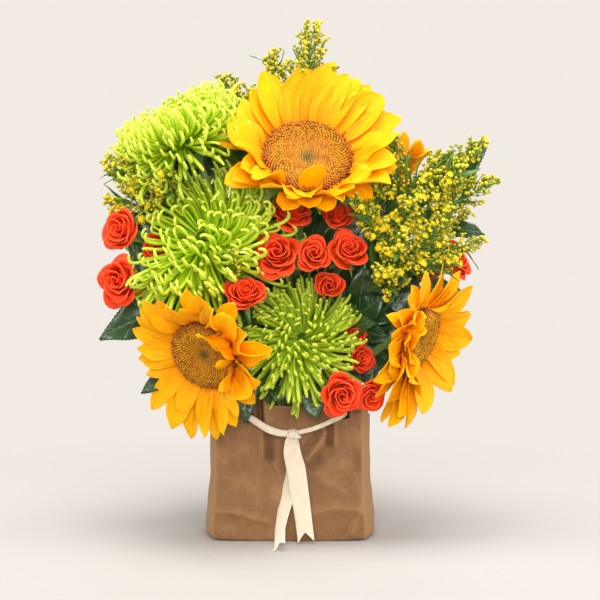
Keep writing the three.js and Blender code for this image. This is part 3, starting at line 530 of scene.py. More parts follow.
# The middle line of each tail from the knot down, the width at each point, the way its face looks
# from the knot to its end, and how often it sways
TAILS = {
    "front": dict(
        middle=[(2.4, -54, 93.6), (0.8, -56, 89), (2.4, -57, 78), (5.6, -56.6, 64.5), (8.6, -56.4, 44),
                (11.4, -57, 24), (13.2, -59, 10), (14, -62, 2.4)],
        widths=[7.5, 15, 16.5, 16, 15.5, 15, 14.5, 14.5], facing=[(0.06, -1, 0.25), (0.06, -1, 0.25)], sway=9,
    ),
    "behind": dict(
        middle=[(2.4, -53.4, 94), (3.6, -51.4, 80), (2.6, -49.8, 62), (-2.2, -50, 42), (-6, -54, 27),
                (-8.4, -63, 15), (-9, -76, 8), (-9.4, -90, 3.4)],
        widths=[8, 13, 15.5, 16, 16, 16, 16, 16],
        facing=[(-0.2, -1, 0.2), (-0.9, -1, 0.2), (-1.2, -1, 0.25), (-0.75, -0.8, 0.45)], sway=12,
    ),
}
TAIL_POINTS = 64
TAIL_NOTCH = 9  # depth of the swallow tails
# The tape's section where it is gathered: folded three times over, across and out, in mm
GATHERED = np.array([
    (-3.1, 0.6), (-1.2, 0.9), (0.6, 0.4), (3.1, 0.6), (3.3, 0.1), (0.2, -0.1), (-2.9, 0.1), (-3.2, -0.4),
    (0, -0.7), (2.9, -0.5),
])
FLAT = np.array([(k / 4 - 1, 0) for k in range(9)])
# The knot's two turns: how far each leans, its half width and height, how far it sits to the right
KNOT_TURNS = [(0.5, (6.4, 3.2), -0.8), (-0.7, (5.6, 3.6), 1.4)]


def unit(vectors):
    """Vectors of length 1."""
    return vectors / np.linalg.norm(vectors, axis=-1, keepdims=True)


def smooth_path(points, count):
    """An even row of points on a smooth curve through the given ones."""
    points = np.array(points, float)
    known = np.concatenate([[0], np.cumsum(np.linalg.norm(np.diff(points, axis=0), axis=1))])
    ends = [2 * points[0] - points[1], *points, 2 * points[-1] - points[-2]]
    wanted = np.linspace(0, known[-1], count)
    made = []
    for at in wanted:
        i = min(int(np.searchsorted(known, at, "right")) - 1, len(points) - 2)
        t = (at - known[i]) / (known[i + 1] - known[i])
        a, b, c, d = ends[i:i + 4]
        bend = (2 * a - 5 * b + 4 * c - d) * t**2 + (3 * b - a - 3 * c + d) * t**3
        made.append(0.5 * (2 * b + (c - a) * t + bend))
    return np.array(made)


def tape(path, section, wide, thick, out):
    """A strip of tape: the section is carried along the path, its second axis turned towards out."""
    ahead = unit(np.gradient(path, axis=0))
    side = unit(np.cross(ahead, np.broadcast_to(out, path.shape)))
    face = np.cross(side, ahead)
    over = section[None, :, 0] * np.broadcast_to(wide, len(path))[:, None]
    up = section[None, :, 1] * thick
    return path[:, None] + side[:, None] * over[..., None] + face[:, None] * up[..., None]


def join(grids, name, material, marks=None):
    """One mesh of several sheets; U runs over a sheet's columns, V over its rows, marks one number each."""
    points, faces, uvs, start = [], [], [], 0
    for grid in grids:
        rows, columns = grid.shape[:2]
        points.append(grid.reshape(-1, 3))
        faces.append(grid_faces(rows, columns) + start)
        v, u = np.meshgrid(np.linspace(0, 1, rows), np.linspace(0, 1, columns), indexing="ij")
        uvs.append(np.stack([u, v], -1).reshape(-1, 2))
        start += rows * columns
    counts = [grid.shape[0] * grid.shape[1] for grid in grids]
    spread = {mark: np.repeat(numbers, counts) for mark, numbers in (marks or {}).items()}
    points = np.concatenate(points) * MM
    return build(name, points, np.concatenate(faces), material, np.concatenate(uvs), spread)


def sheets(grids, name, material, thickness, slot, *nodes, marks=None, levels=0):
    """Joins sheets into one piece of this thickness, which stands for these solids. slot is not used."""
    piece = join(grids, name, material, marks)
    thicken(piece, thickness, levels=levels)
    place_piece(piece, slot, *nodes)
    return piece


def swallow_tail(grid, depth, frayed):
    """Cuts the far end of a flat tape to a V by sliding its last rows back in the middle."""
    across = np.abs(np.linspace(-1, 1, grid.shape[1]))
    ahead = unit(grid[-1] - grid[-2])
    last = len(frayed)
    for row in range(last):
        share = ((last - row) / last) ** 1.2
        back = depth * (1 - across) * share - frayed[row] * (row == 0)
        grid[-1 - row] -= ahead * back[:, None]
    return grid


ribbon_random = np.random.default_rng(8)
loop = smooth_path(DRAWSTRING, LOOP_POINTS)
loop_out = loop - np.array([4, -8, 104])
loop_out[:, 2] = 2
squeeze = np.interp(np.linspace(0, 1, LOOP_POINTS), *LOOP_WIDTHS)
ribbon_grids = [tape(loop, GATHERED, squeeze, 0.9, loop_out)]
down = np.linspace(0, 1, TAIL_POINTS)
across = np.linspace(-1, 1, len(FLAT))
for tail in TAILS.values():
    path = smooth_path(tail["middle"], TAIL_POINTS)
    path[:, 1] += 0.7 * np.sin(tail["sway"] * down) * down
    width = np.interp(down, np.linspace(0, 1, len(tail["widths"])), tail["widths"])
    turns = np.linspace(0, 1, len(tail["facing"]))
    out = np.stack([np.interp(down, turns, side) for side in zip(*tail["facing"])], 1)
    strip = tape(path, FLAT * (TAPE_WIDTH / 2, 1), width / TAPE_WIDTH, 1, out)
    gather = held(1 - 7 * down)[:, None]
    strip[..., 1] += (1.3 * np.cos(3 * math.pi * across) + 0.4) * gather
    strip[..., 1] -= 0.5 * across**2 * np.sin(6 * down)[:, None]
    strip = swallow_tail(strip, TAIL_NOTCH, 0.35 * ribbon_random.standard_normal((7, len(FLAT))))
    strip[..., 2] = np.maximum(strip[..., 2], 0.6)
    ribbon_grids.append(strip)

# The knot: two gathered turns across each other, round both strands.
angle = np.linspace(0.15, 2 * math.pi + 0.3, 40)
for tilt, (wide, high), aside in KNOT_TURNS:
    s, c = np.sin(angle), np.cos(angle)
    ring = np.stack([4.4 * tilt * s + aside, 0.62 * wide * c - 0.4, high * s], 1)
    ribbon_grids.append(tape(KNOT + ring, GATHERED * (0.85, 0.8), 1, 0.8, ring * (0.2, 1, 1) + (0.01, 0, 0)))

cotton, add = finish("cotton_tape", Roughness=0.9, Sheen_Weight=0.35, Sheen_Roughness=0.5)
uv = spot_of(add, "UV")
place = spot_of(add)
warp = add("TexWave", {"Vector": stretched(add, uv, (1, 0, 1)), "Scale": 14}, bands_direction="X")
weft = add("TexWave", {"Vector": place, "Scale": 520, "Distortion": 0.6}, bands_direction="Z")
weave = maths(add, "MULTIPLY", warp.outputs["Fac"], weft.outputs["Fac"])
slub = speckle(add, place, 160, 4)
tint = mixed(add, weave, (0.73, 0.61, 0.455), COTTON)
tint = mixed(add, fade(add, slub, 0.4, 0.8, 0.6), tint, (0.90, 0.81, 0.67))
dress(cotton, tint, relief(add, weave, 0.5, 0.0003))
ribbon = sheets(ribbon_grids, "cotton_ribbon", cotton, TAPE, "ribbon_cotton", "ribbon")

# ---------------------------------------------------------------- stems
# The cut stems of the flowers stand in the water and fan out through the bag's mouth. Their routes
# are the solids' own; a copy of each is rounded off, so that a facetted tube becomes a round stem.

STEM_GREEN = (0.10, 0.21, 0.035)
STEM_PALE = (0.26, 0.40, 0.10)

stem_green, add = finish("stem_green", Roughness=0.55, Subsurface_Weight=0.08, Subsurface_Scale=0.002)
place = spot_of(add)
grain = stretched(add, place, (1, 1, 0.12))
fibres = speckle(add, grain, 900, 4)
patches = speckle(add, place, 45, 3)
tint = mixed(add, fade(add, patches, 0.35, 0.75), STEM_GREEN, STEM_PALE)
tint = mixed(add, fade(add, fibres, 0.4, 0.7, 0.5), tint, (0.05, 0.12, 0.02))
dress(stem_green, tint, relief(add, fibres, 0.4, 0.0004))


def standing(place, facing):
    """The frame of a flower that is drawn round +Z, at its place in mm and looking the way it faces."""
    z = Vector(facing).normalized()
    x = Vector((0, 0, 1)).cross(z).normalized()
    turn = Matrix((x, z.cross(x), z)).transposed().to_4x4()
    return Matrix.Translation(Vector(place)) @ turn


def carried(stand, points):
    """Points of a flower's own frame, taken to the bouquet's."""
    matrix = np.array(stand)
    return np.asarray(points, float) @ matrix[:3, :3].T + matrix[:3, 3]


def stalk(node, name, swell, cut_frame=None, cut_height=0.0):
    """The piece for a stem's solid: a round copy, cut off flat behind the flower where a frame is given."""
    shape = bmesh.new()
    shape.from_mesh(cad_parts[node].data)
    bmesh.ops.remove_doubles(shape, verts=shape.verts, dist=0.02 * MM)
    if cut_frame:
        normal = cut_frame.to_3x3() @ Vector((0, 0, 1))
        level = (cut_frame @ Vector((0, 0, cut_height))) * MM
        everything = [*shape.verts, *shape.edges, *shape.faces]
        bmesh.ops.bisect_plane(shape, geom=everything, plane_co=level, plane_no=normal, clear_outer=True)
        bmesh.ops.holes_fill(shape, edges=[edge for edge in shape.edges if edge.is_boundary])
    limits = dict(angle_face_threshold=math.radians(35), angle_shape_threshold=math.radians(60))
    bmesh.ops.join_triangles(shape, faces=shape.faces, **limits)
    bmesh.ops.recalc_face_normals(shape, faces=shape.faces)
    shape.normal_update()
    for vertex, normal in [(vertex, vertex.normal.copy()) for vertex in shape.verts]:
        vertex.co += normal * swell * MM
    mesh = bpy.data.meshes.new(name)
    shape.to_mesh(mesh)
    shape.free()
    mesh.materials.append(stem_green)
    mesh.shade_smooth()
    stem = shown(name, mesh)
    smoother = stem.modifiers.new("round", "SUBSURF")
    smoother.levels = smoother.render_levels = 2
    place_piece(stem, "stem_green", node)


# ---------------------------------------------------------------- sunflowers
# Five cut sunflowers. Each has a domed disc of packed florets with a green middle, two to three
# rows of ribbed golden ray petals that leave its rim, and a green cup of pointed bracts behind.

# place is the middle of the disc's back, in mm; disc is its radius and petal the rays' length. rows:
# petals of the outer, second and inner row.
# hang: the share by which those that point down are shorter. laid: petals laid one by one, each with
# the turn of its root round the disc in degrees, the tip's place to the right, up and out of the
# disc's plane in mm, its width, and its twist, all in the flower's own frame
SUNFLOWERS = {
    "top": dict(
        place=(15, -42, 334), facing=(0.1, -0.74, 0.66), disc=39, petal=56, rows=(9, 5, 0), seed=3, hang=0.45,
        laid=[
            (118, (-35, 81, 26), 27, 0.1), (103, (10, 85, 26), 30, 0.2), (84, (31, 92, 28), 24, 0.0),
            (72, (41, 76, 28), 26, 0.1), (62, (52, 77, 22), 25, -0.1), (50, (60, 68, 22), 25, 0.1),
            (38, (70, 56, 24), 31, 0.1), (22, (84, 31, 20), 31, -0.1), (2, (76, 4, 32), 31, -0.5),
            (-18, (72, -22, 26), 28, 0.3), (-36, (65, -46, 22), 26, -0.4), (-54, (47, -40, 35), 24, 1.0),
            (172, (-70, 22, 24), 30, -0.2), (188, (-66, -9, 31), 29, 0.3), (206, (-62, -32, 27), 27, -0.2),
            (222, (-52, -46, 30), 27, 0.7), (236, (-46, -48, 20), 26, 0.4), (132, (-43, 68, 16), 22, 0.2),
            (148, (-53, 56, 18), 26, -0.3), (160, (-66, 40, 12), 26, 0.1), (246, (-24, -57, 22), 28, -0.5),
            (262, (-4, -58, 20), 28, 0.4), (284, (22, -59, 18), 27, -0.6), (296, (32, -53, 26), 26, 0.7),
            (264, (7, -34, 33), 21, 0.1),
        ],
    ),
    "left": dict(
        place=(-70, -88, 172), facing=(-0.47, -0.82, -0.33), disc=30, petal=42, rows=(8, 4, 0), seed=5,
        laid=[
            (146, (-53, 42, 10), 17, 0.3), (155, (-61, 33, 8), 16, -0.2), (163, (-66, 22, 9), 17, 0.2),
            (170, (-69, 14, 3), 15, -0.3), (177, (-65, 4, 9), 17, 0.2), (186, (-69, -8, 5), 14, 0.3),
            (192, (-60, -9, 12), 13, -0.4), (201, (-62, -21, 8), 15, 0.4), (214, (-64, -55, 8), 19, 0.2),
            (233, (-45, -71, 11), 22, -0.1), (247, (-33, -84, 4), 19, 0.2), (262, (-12, -76, 11), 17, 0.3),
            (268, (-8, -84, 1), 14, -0.2), (280, (10, -71, 13), 18, 0.5), (290, (19, -66, 8), 17, -0.4),
            (302, (28, -52, 15), 21, 0.5), (324, (49, -27, 22), 25, -0.8), (342, (61, -13, 20), 22, 0.7),
            (2, (70, 13, 19), 17, 1.3), (24, (58, 31, 23), 26, -0.9), (42, (44, 48, 25), 27, 0.8),
            (62, (34, 54, 27), 21, -0.8), (74, (20, 65, 26), 19, 0.5), (96, (1, 52, 29), 21, 0.9),
            (112, (-16, 52, 23), 19, -0.6), (130, (-36, 45, 19), 20, 0.5), (138, (-48, 50, 10), 17, 0.2),
            (12, (30, 22, 30), 17, 1.2), (34, (16, 32, 33), 20, 1.2), (352, (24, 0, 26), 14, -1.0),
            (330, (26, -22, 27), 16, 0.9),
        ],
    ),
    "right": dict(
        place=(109, -60, 184), facing=(0.83, -0.47, -0.28), disc=26, petal=44, rows=(7, 3, 0), seed=7,
        laid=[
            (18, (60, 20, 20), 23, 0.1), (0, (60, -1, 26), 24, -0.1), (343, (50, -15, 23), 22, 0.2),
            (314, (36, -46, 30), 24, 0.2), (326, (44, -42, 27), 20, -0.2), (300, (30, -51, 12), 18, 0.3),
            (42, (52, 47, 17), 21, -0.2), (54, (40, 53, 8), 21, 0.2), (66, (30, 60, 11), 17, -0.3),
            (80, (14, 66, 0), 19, 0.3), (94, (0, 48, -5), 20, 0.3), (72, (3, 36, 22), 17, 0.9),
            (156, (-52, 19, -8), 14, 0.5), (146, (-46, 15, -2), 17, -0.6), (206, (-60, -36, 1), 23, 0.3),
            (220, (-50, -51, 0), 23, -0.3), (246, (-22, -78, -1), 20, 0.2), (254, (-30, -77, 11), 24, 0.4),
            (262, (-18, -76, 20), 25, -0.3), (272, (-14, -60, 30), 27, 0.3), (222, (-50, -24, 27), 29, 0.4),
            (140, (-42, 18, 14), 15, 0.9), (166, (-56, 6, 3), 26, -0.5), (190, (-60, -13, 7), 27, 0.4),
            (240, (-30, -42, 33), 22, -0.5), (120, (-24, 36, -6), 20, 0.4), (196, (-40, -14, 19), 27, 0.6),
            (172, (-38, 10, 20), 25, -0.6), (150, (-32, 24, 18), 22, 0.5), (216, (-34, -30, 22), 24, -0.5),
            (204, (-54, -24, 8), 38, 0.2), (228, (-46, -52, 10), 38, -0.2), (250, (-30, -66, 16), 34, 0.2),
            (128, (-30, 46, -4), 24, 0.3),
        ],
    ),
    "back_right": dict(
        place=(66, 60, 315), facing=(0.5, 0.62, 0.6), disc=26, petal=43, rows=(15, 13, 5), seed=9,
        laid=[
            (200, (-20, 0, 26), 18, 0.4), (165, (-78, 41, 7), 27, 1.7), (176, (-80, 29, 10), 26, 1.6),
            (154, (-64, 50, 5), 26, 1.7),
        ],
    ),
    "back_left": dict(
        place=(-106, 54, 212), facing=(-0.75, 0.6, 0.25), disc=26, petal=43, rows=(15, 13, 5), seed=13,
        laid=[(120, (-10, 14, 26), 18, -0.4), (6, (55, 5, 28), 22, 0.3), (-14, (51, -12, 27), 20, -0.3)],
    ),
}
# Outlines: shares of the length, and the share of the full width there
PETAL_OUTLINE = (
    [0, 0.07, 0.2, 0.4, 0.58, 0.74, 0.87, 0.95, 1], [0.42, 0.55, 0.82, 1, 1, 0.88, 0.6, 0.32, 0.04]
)
PETAL_THICK = 0.45 * MM
BRACT_THICK = 0.6 * MM
DOME_HEIGHT = 10 * MM
STALK_END = -14  # where a stalk ends inside the cup, in mm behind the disc
# The rows' petals: length and width as shares of the flower's own, and how steeply they rise
RAY_ROWS = [(0.84, 0.44, 16), (0.8, 0.42, 30), (0.6, 0.36, 44)]
# The rows of bracts: count, radius share and height they start at, rise, bend, length
BRACT_ROWS = [(13, 0.80, -3.4, 8, -34, 0.66), (13, 0.62, -6.6, 4, -46, 0.6), (11, 0.42, -10, -8, -44, 0.5)]
BRACT_OUTLINE = ([0, 0.2, 0.45, 0.75, 0.92, 1], [0.8, 1, 0.92, 0.45, 0.14, 0.03])
# A closed floret and an open one: radius, height, and how far up it is
BUD_FLORET = [(0.5, -0.6, 0), (0.62, 0.9, 0.35), (0.5, 1.7, 0.8), (0.22, 2.1, 1)]
STAR_FLORET = [(0.4, -0.6, 0), (0.5, 1.6, 0.3), (0.66, 2.3, 0.7), (1.15, 2.9, 1)]
GOLDEN_TURN = math.pi * (3 - math.sqrt(5))
FLORETS_PER_RADIUS = 24  # florets of a disc for each mm of its radius


def blade(
    random, path, side, width, cup=0.2, ribs=0.4, twist=0.0, waves=0.05, outline=PETAL_OUTLINE, columns=9,
):
    """A petal or leaf along a path of points; side points to its right-hand edge at the root."""
    along = np.linspace(0, 1, len(path))
    across = np.linspace(-1, 1, columns)
    ahead = unit(np.gradient(path, axis=0))
    right = unit(side - ahead * (ahead @ side)[:, None])
    upper = np.cross(ahead, right)
    half = (width / 2 * np.interp(along, *outline))[:, None]
    ripple = np.sin(along * random.uniform(7, 12) + random.uniform(0, 6))[:, None] * np.abs(across) ** 3
    other = np.sin(along * random.uniform(5, 10) + random.uniform(0, 6))[:, None] * held(across) ** 2
    lift = cup * half * across**2 + waves * width * (ripple + other)
    ribbed = np.sin(math.pi * held(along * 1.05))[:, None] ** 0.7
    lift = lift - ribs * np.cos(2.5 * math.pi * across) * ribbed
    roll = (twist * along**1.5)[:, None]
    over = half * across * np.cos(roll) - lift * np.sin(roll)
    up = half * across * np.sin(roll) + lift * np.cos(roll)
    return path[:, None, :] + over[..., None] * right[:, None, :] + up[..., None] * upper[:, None, :]


def petal(random, length, width, rise, bend, root, aside=0.0, curl=0.0, rows=13, **looks):
    """A ray petal or bract that leaves its flower along +X; root is the radius and height it starts at."""
    along = np.linspace(0, 1, rows)
    angle = np.radians(rise + bend * along**1.2 + curl * held((along - 0.7) / 0.3) ** 1.5)
    step = length / (rows - 1)
    x = root[0] + np.concatenate([[0], np.cumsum(np.cos(angle[:-1]) * step)])
    z = root[1] + np.concatenate([[0], np.cumsum(np.sin(angle[:-1]) * step)])
    path = np.stack([x, aside * length * along**2, z], -1)
    return blade(random, path, np.array([0, 1.0, 0]), width, **looks)


def laid_petal(random, radius, turn, tip, width, twist):
    """A petal from the disc's rim to a given tip: it rises first and then leans over to the tip."""
    c, s = math.cos(math.radians(turn)), math.sin(math.radians(turn))
    root = np.array([(radius - 1.4) * c, (radius - 1.4) * s, random.uniform(-1.5, 0.5)])
    tip = np.array(tip, float)
    length = np.linalg.norm(tip - root)
    rise = math.atan2(tip[2] - root[2], max(np.hypot(*(tip - root)[:2]), 1)) + random.uniform(0.1, 0.45)
    knee = root + 0.48 * length * np.array([c * math.cos(rise), s * math.cos(rise), math.sin(rise)])
    t = np.linspace(0, 1, 15)[:, None]
    path = (1 - t) ** 2 * root + 2 * t * (1 - t) * knee + t**2 * tip
    path[:, 2] += 0.03 * length * random.uniform(-1, 1) * held((t[:, 0] - 0.75) / 0.25) ** 2
    crumpled = 0.03 + 0.09 * min(1, abs(twist))
    wide = width * random.uniform(0.95, 1.06)
    cup = random.uniform(0.05, 0.45)
    return blade(random, path, np.array([-s, c, 0]), wide, cup, 0.75 * width / 22, twist, crumpled)


def spun(grid, degrees):
    """A grid turned about its flower's own axis."""
    c, s = math.cos(math.radians(degrees)), math.sin(math.radians(degrees))
    return grid @ np.array([(c, s, 0), (-s, c, 0), (0, 0, 1)])


def ray_petals(flower):
    """Every ray petal of a sunflower in its own frame, with a tone for each."""
    random = np.random.default_rng(flower["seed"])
    grids, tones = [], []
    radius, length = flower["disc"], flower["petal"]
    for row, (count, (long, wide, rise)) in enumerate(zip(flower["rows"], RAY_ROWS)):
        for number in range(count):
            turn = (number + 0.5 * (row % 2) + random.uniform(-0.22, 0.22)) * 360 / count + 17 * row
            reach = length * long * random.uniform(0.88, 1.1)
            reach *= 1 - flower.get("hang", 0) * max(0, -math.sin(math.radians(turn)))
            width = length * wide * random.uniform(0.86, 1.1)
            ray = petal(
                random, reach, width, rise + random.uniform(-6, 6), -14 + random.uniform(-16, 12),
                (radius - 1.5 + 0.4 * row, -1.6 + 1.1 * row), aside=random.uniform(-0.1, 0.1),
                twist=random.uniform(-0.3, 0.3), cup=random.uniform(0.05, 0.4), ribs=0.7 * width / 22,
                curl=random.uniform(-30, 34), rows=15,
            )
            grids.append(spun(ray, turn))
            tones.append(random.uniform(0, 0.8))
    for turn, tip, width, twist in flower["laid"]:
        grids.append(laid_petal(random, radius, turn, tip, width, twist))
        tones.append(random.uniform(0.2, 1))
    return grids, tones


petal_gold, add = finish(
    "sunflower_petal", Roughness=0.6, Specular_IOR_Level=0.15,
    Subsurface_Weight=0.15, Subsurface_Radius=(1, 0.5, 0.02), Subsurface_Scale=0.003,
)
uv = spot_of(add, "UV")
u, v, _ = add("SeparateXYZ", {"Vector": uv}).outputs
tone = marked(add, "tone")
own = add("CombineXYZ", {"X": tone, "Y": tone}).outputs["Vector"]
along = {"Vector": stretched(add, uv, (1, 0.06, 1)), "Location": own}
veins = speckle(add, add("Mapping", along).outputs["Vector"], 46, 3, 0.6)
grooves = {"Vector": stretched(add, uv, (1, 0, 1)), "Scale": 3.2, "Distortion": 0}
grooves = add("TexWave", grooves, bands_direction="X").outputs["Fac"]
body = ramp(add, v, [
    (0, (0.84, 0.16, 0.0)), (0.18, (0.98, 0.29, 0.0)), (0.45, (0.99, 0.45, 0.0)), (1, (1.0, 0.59, 0.0)),
])
warm = ramp(add, tone, [(0, (0.98, 0.38, 0.0)), (0.5, (0.98, 0.48, 0.0)), (1, (1.0, 0.58, 0.0))])
tint = mixed(add, 0.4, body, warm)
tint = mixed(add, fade(add, veins, 0.42, 0.72, 0.5), tint, (0.80, 0.17, 0.0))
tint = mixed(add, fade(add, grooves, 0.0, 0.4, 0, 0.45), tint, (0.80, 0.18, 0.0))
dress(petal_gold, tint, relief(add, veins, 0.45, 0.0006))

bract_green, add = finish("bract_green", Roughness=0.6, Subsurface_Weight=0.1, Subsurface_Scale=0.002)
uv = spot_of(add, "UV")
veins = speckle(add, stretched(add, uv, (1, 0.1, 1)), 30, 3)
down = speckle(add, spot_of(add), 1400, 2)
tint = ramp(add, add("SeparateXYZ", {"Vector": uv}).outputs["Y"], [
    (0, (0.20, 0.36, 0.07)), (0.6, (0.10, 0.24, 0.035)), (1, (0.16, 0.22, 0.04)),
])
tint = mixed(add, fade(add, veins, 0.4, 0.7, 0.5), tint, (0.05, 0.13, 0.02))
dress(bract_green, tint, relief(add, down, 0.5, 0.0004))

floret_gold, add = finish("disc_florets", Roughness=0.7, Subsurface_Weight=0.1, Subsurface_Scale=0.001)
share = marked(add, "share")
lift = marked(add, "lift")
tone = marked(add, "tone")
foot = ramp(add, share, [
    (0, (0.07, 0.08, 0.01)), (0.26, (0.5, 0.2, 0.004)), (0.75, (0.55, 0.18, 0.004)),
    (1, (0.10, 0.022, 0.004)),
])
tips = ramp(add, share, [
    (0, (0.10, 0.13, 0.02)), (0.12, (0.26, 0.2, 0.02)), (0.26, (0.84, 0.48, 0.003)),
    (0.74, (0.92, 0.47, 0.003)), (0.88, (0.80, 0.27, 0.006)), (1, (0.34, 0.09, 0.006)),
])
tint = mixed(add, fade(add, lift, 0.2, 0.6), foot, tips)
tint = mixed(add, fade(add, tone, 0.5, 1, 0.8), tint, (0.24, 0.075, 0.004))
dress(floret_gold, tint)


def new_tree(name, **inputs):
    """A geometry tree with its node maker and inputs: a mesh, the given kinds, and a material."""
    tree = bpy.data.node_groups.new(name, "GeometryNodeTree")
    for label, kind in {"Geometry": "Geometry", **inputs, "Material": "Material"}.items():
        tree.interface.new_socket(label, in_out="INPUT", socket_type="NodeSocket" + kind)
    tree.interface.new_socket("Geometry", in_out="OUTPUT", socket_type="NodeSocketGeometry")
    add = maker(tree, "GeometryNode")
    return tree, add, add("NodeGroupInput").outputs


def end_tree(tree, add, given, parts):
    """Joins a tree's parts, makes their copies real, paints them and puts them out."""
    joined = add("JoinGeometry")
    for part in parts:
        put(tree, part, joined.inputs[0])
    real = add("RealizeInstances", {0: joined.outputs[0]}).outputs[0]
    painted = add("SetMaterial", {"Geometry": real, "Material": given["Material"]}).outputs[0]
    put(tree, painted, add("NodeGroupOutput").inputs[0])


def stored(add, geometry, name, value, domain="POINT"):
    """A geometry that carries a number under a name."""
    kept = {"Geometry": geometry, "Name": name, "Value": value}
    return add("StoreNamedAttribute", kept, data_type="FLOAT", domain=domain).outputs[0]


def drawn(add, seed):
    """A random number from 0 to 1."""
    draw = add("FunctionNodeRandomValue", {"Seed": seed}, data_type="FLOAT")
    return next(output for output in draw.outputs if output.enabled)


def grown(piece, tree, **values):
    """Runs a geometry tree on a piece with these inputs and keeps the result as a plain mesh."""
    modifier = piece.modifiers.new("grow", "NODES")
    modifier.node_group = tree
    names = {item.name: item.identifier for item in tree.interface.items_tree if item.item_type == "SOCKET"}
    for name, value in values.items():
        modifier[names[name]] = value
    bpy.context.view_layer.update()
    graph = bpy.context.evaluated_depsgraph_get()
    result = piece.evaluated_get(graph)
    mesh = bpy.data.meshes.new_from_object(result, preserve_all_data_layers=True, depsgraph=graph)
    piece.modifiers.clear()
    piece.data = mesh
    mesh.name = piece.name
    return piece


def floret_mesh(name, profile, sides, starred):
    """A small tube that closes to a bud or flares to points; lift is 0 at its foot, 1 at its tips."""
    turn = 2 * math.pi * np.arange(sides) / sides
    points, lifts = [], []
    for radius, height, level in profile:
        reach = radius * np.where(np.arange(sides) % 2, 1 - starred * level, 1)
        points.append(np.stack([reach * np.cos(turn), reach * np.sin(turn), np.full(sides, height)], 1))
        lifts += [level] * sides
    points.append(np.array([(0, 0, profile[-1][1] + (0.25 if starred == 0 else -0.5))]))
    lifts.append(0.9 if starred == 0 else 0.2)
    faces = grid_faces(len(profile), sides, closed=True).tolist()
    last = (len(profile) - 1) * sides
    faces += [[last + i, last + (i + 1) % sides, len(lifts) - 1] for i in range(sides)]
    floret = build(name, np.concatenate(points) * MM, faces, floret_gold, marks=[("lift", lifts)])
    bpy.context.scene.collection.objects.unlink(floret)
    return floret


disc_bud = floret_mesh("disc_bud", BUD_FLORET, 6, 0)
disc_star = floret_mesh("disc_star", STAR_FLORET, 10, 0.55)

# The disc: florets on a spiral over the dome, smaller and closed towards the green middle.
disc_tree, add, given = new_tree(
    "disc_of_florets", Florets="Int", Radius="Float", Bud="Object", Star="Object", Seed="Int"
)
index = add("InputIndex").outputs[0]
share = maths(add, "SQRT", maths(add, "DIVIDE", maths(add, "ADD", index, 0.5), given["Florets"]))
turn = maths(add, "MULTIPLY", index, GOLDEN_TURN)
reach = maths(add, "MULTIPLY", share, given["Radius"])
dome = add("ShaderNodeFloatCurve", {1: share})
for at, height in [(0.28, 0.62), (0.56, 0.80), (0.84, 0.70)]:
    dome.mapping.curves[0].points.new(at, height)
dome.mapping.curves[0].points[0].location = (0, 0.48)
dome.mapping.curves[0].points[-1].location = (1, 0.28)
dome.mapping.update()
across, up = [maths(add, "MULTIPLY", reach, maths(add, way, turn)) for way in ("COSINE", "SINE")]
level = maths(add, "MULTIPLY", dome.outputs[0], DOME_HEIGHT)
spot = add("ShaderNodeCombineXYZ", {0: across, 1: up, 2: level}).outputs[0]
seeds = add("Points", {"Count": given["Florets"], "Position": spot}).outputs[0]
luck = drawn(add, given["Seed"])
seeds = stored(add, stored(add, seeds, "share", share), "tone", luck)
below = add("ShaderNodeCombineXYZ", {2: maths(add, "MULTIPLY", given["Radius"], -1.4)}).outputs[0]
lean = {0: add("InputPosition").outputs[0], 1: below}
lean = add("ShaderNodeVectorMath", lean, operation="SUBTRACT").outputs[0]
spin = add("FunctionNodeEulerToRotation", {0: add("ShaderNodeCombineXYZ", {2: turn}).outputs[0]}).outputs[0]
aimed = add("FunctionNodeAlignRotationToVector", {"Rotation": spin, "Vector": lean}, axis="Z").outputs[0]
grow_up = add("ShaderNodeMapRange", {"Value": share, 1: 0.05, 2: 0.9, 3: 0.62, 4: 1.12}).outputs[0]
size = maths(add, "MULTIPLY", grow_up, add("ShaderNodeMapRange", {"Value": luck, 3: 0.8, 4: 1.2}).outputs[0])
threshold = add("ShaderNodeMapRange", {"Value": luck, 3: 0.38, 4: 0.72}).outputs[0]
is_open = maths(add, "GREATER_THAN", share, threshold)
is_closed = add("FunctionNodeBooleanMath", {0: is_open}, operation="NOT").outputs[0]
parts = [given["Geometry"]]
for source, chosen in [("Bud", is_closed), ("Star", is_open)]:
    floret = add("ObjectInfo", {"Object": given[source]}).outputs["Geometry"]
    parts.append(add("InstanceOnPoints", {
        "Points": seeds, "Selection": chosen, "Instance": floret, "Rotation": aimed, "Scale": size,
    }).outputs[0])
end_tree(disc_tree, add, given, parts)

# The dome under the florets and the green cup behind it, as radius shares and heights in mm
DOME = [(0, -0.4), (0.6, -0.4), (0.95, 0.2), (0.99, 2.4), (0.86, 6.2), (0.56, 7.2), (0.28, 5.6), (0, 4.4)]
CUP = [(0, -16.5), (0.13, -16.5), (0.2, -13), (0.42, -9.5), (0.72, -6), (0.9, -3), (0.93, -0.8), (0, -0.6)]

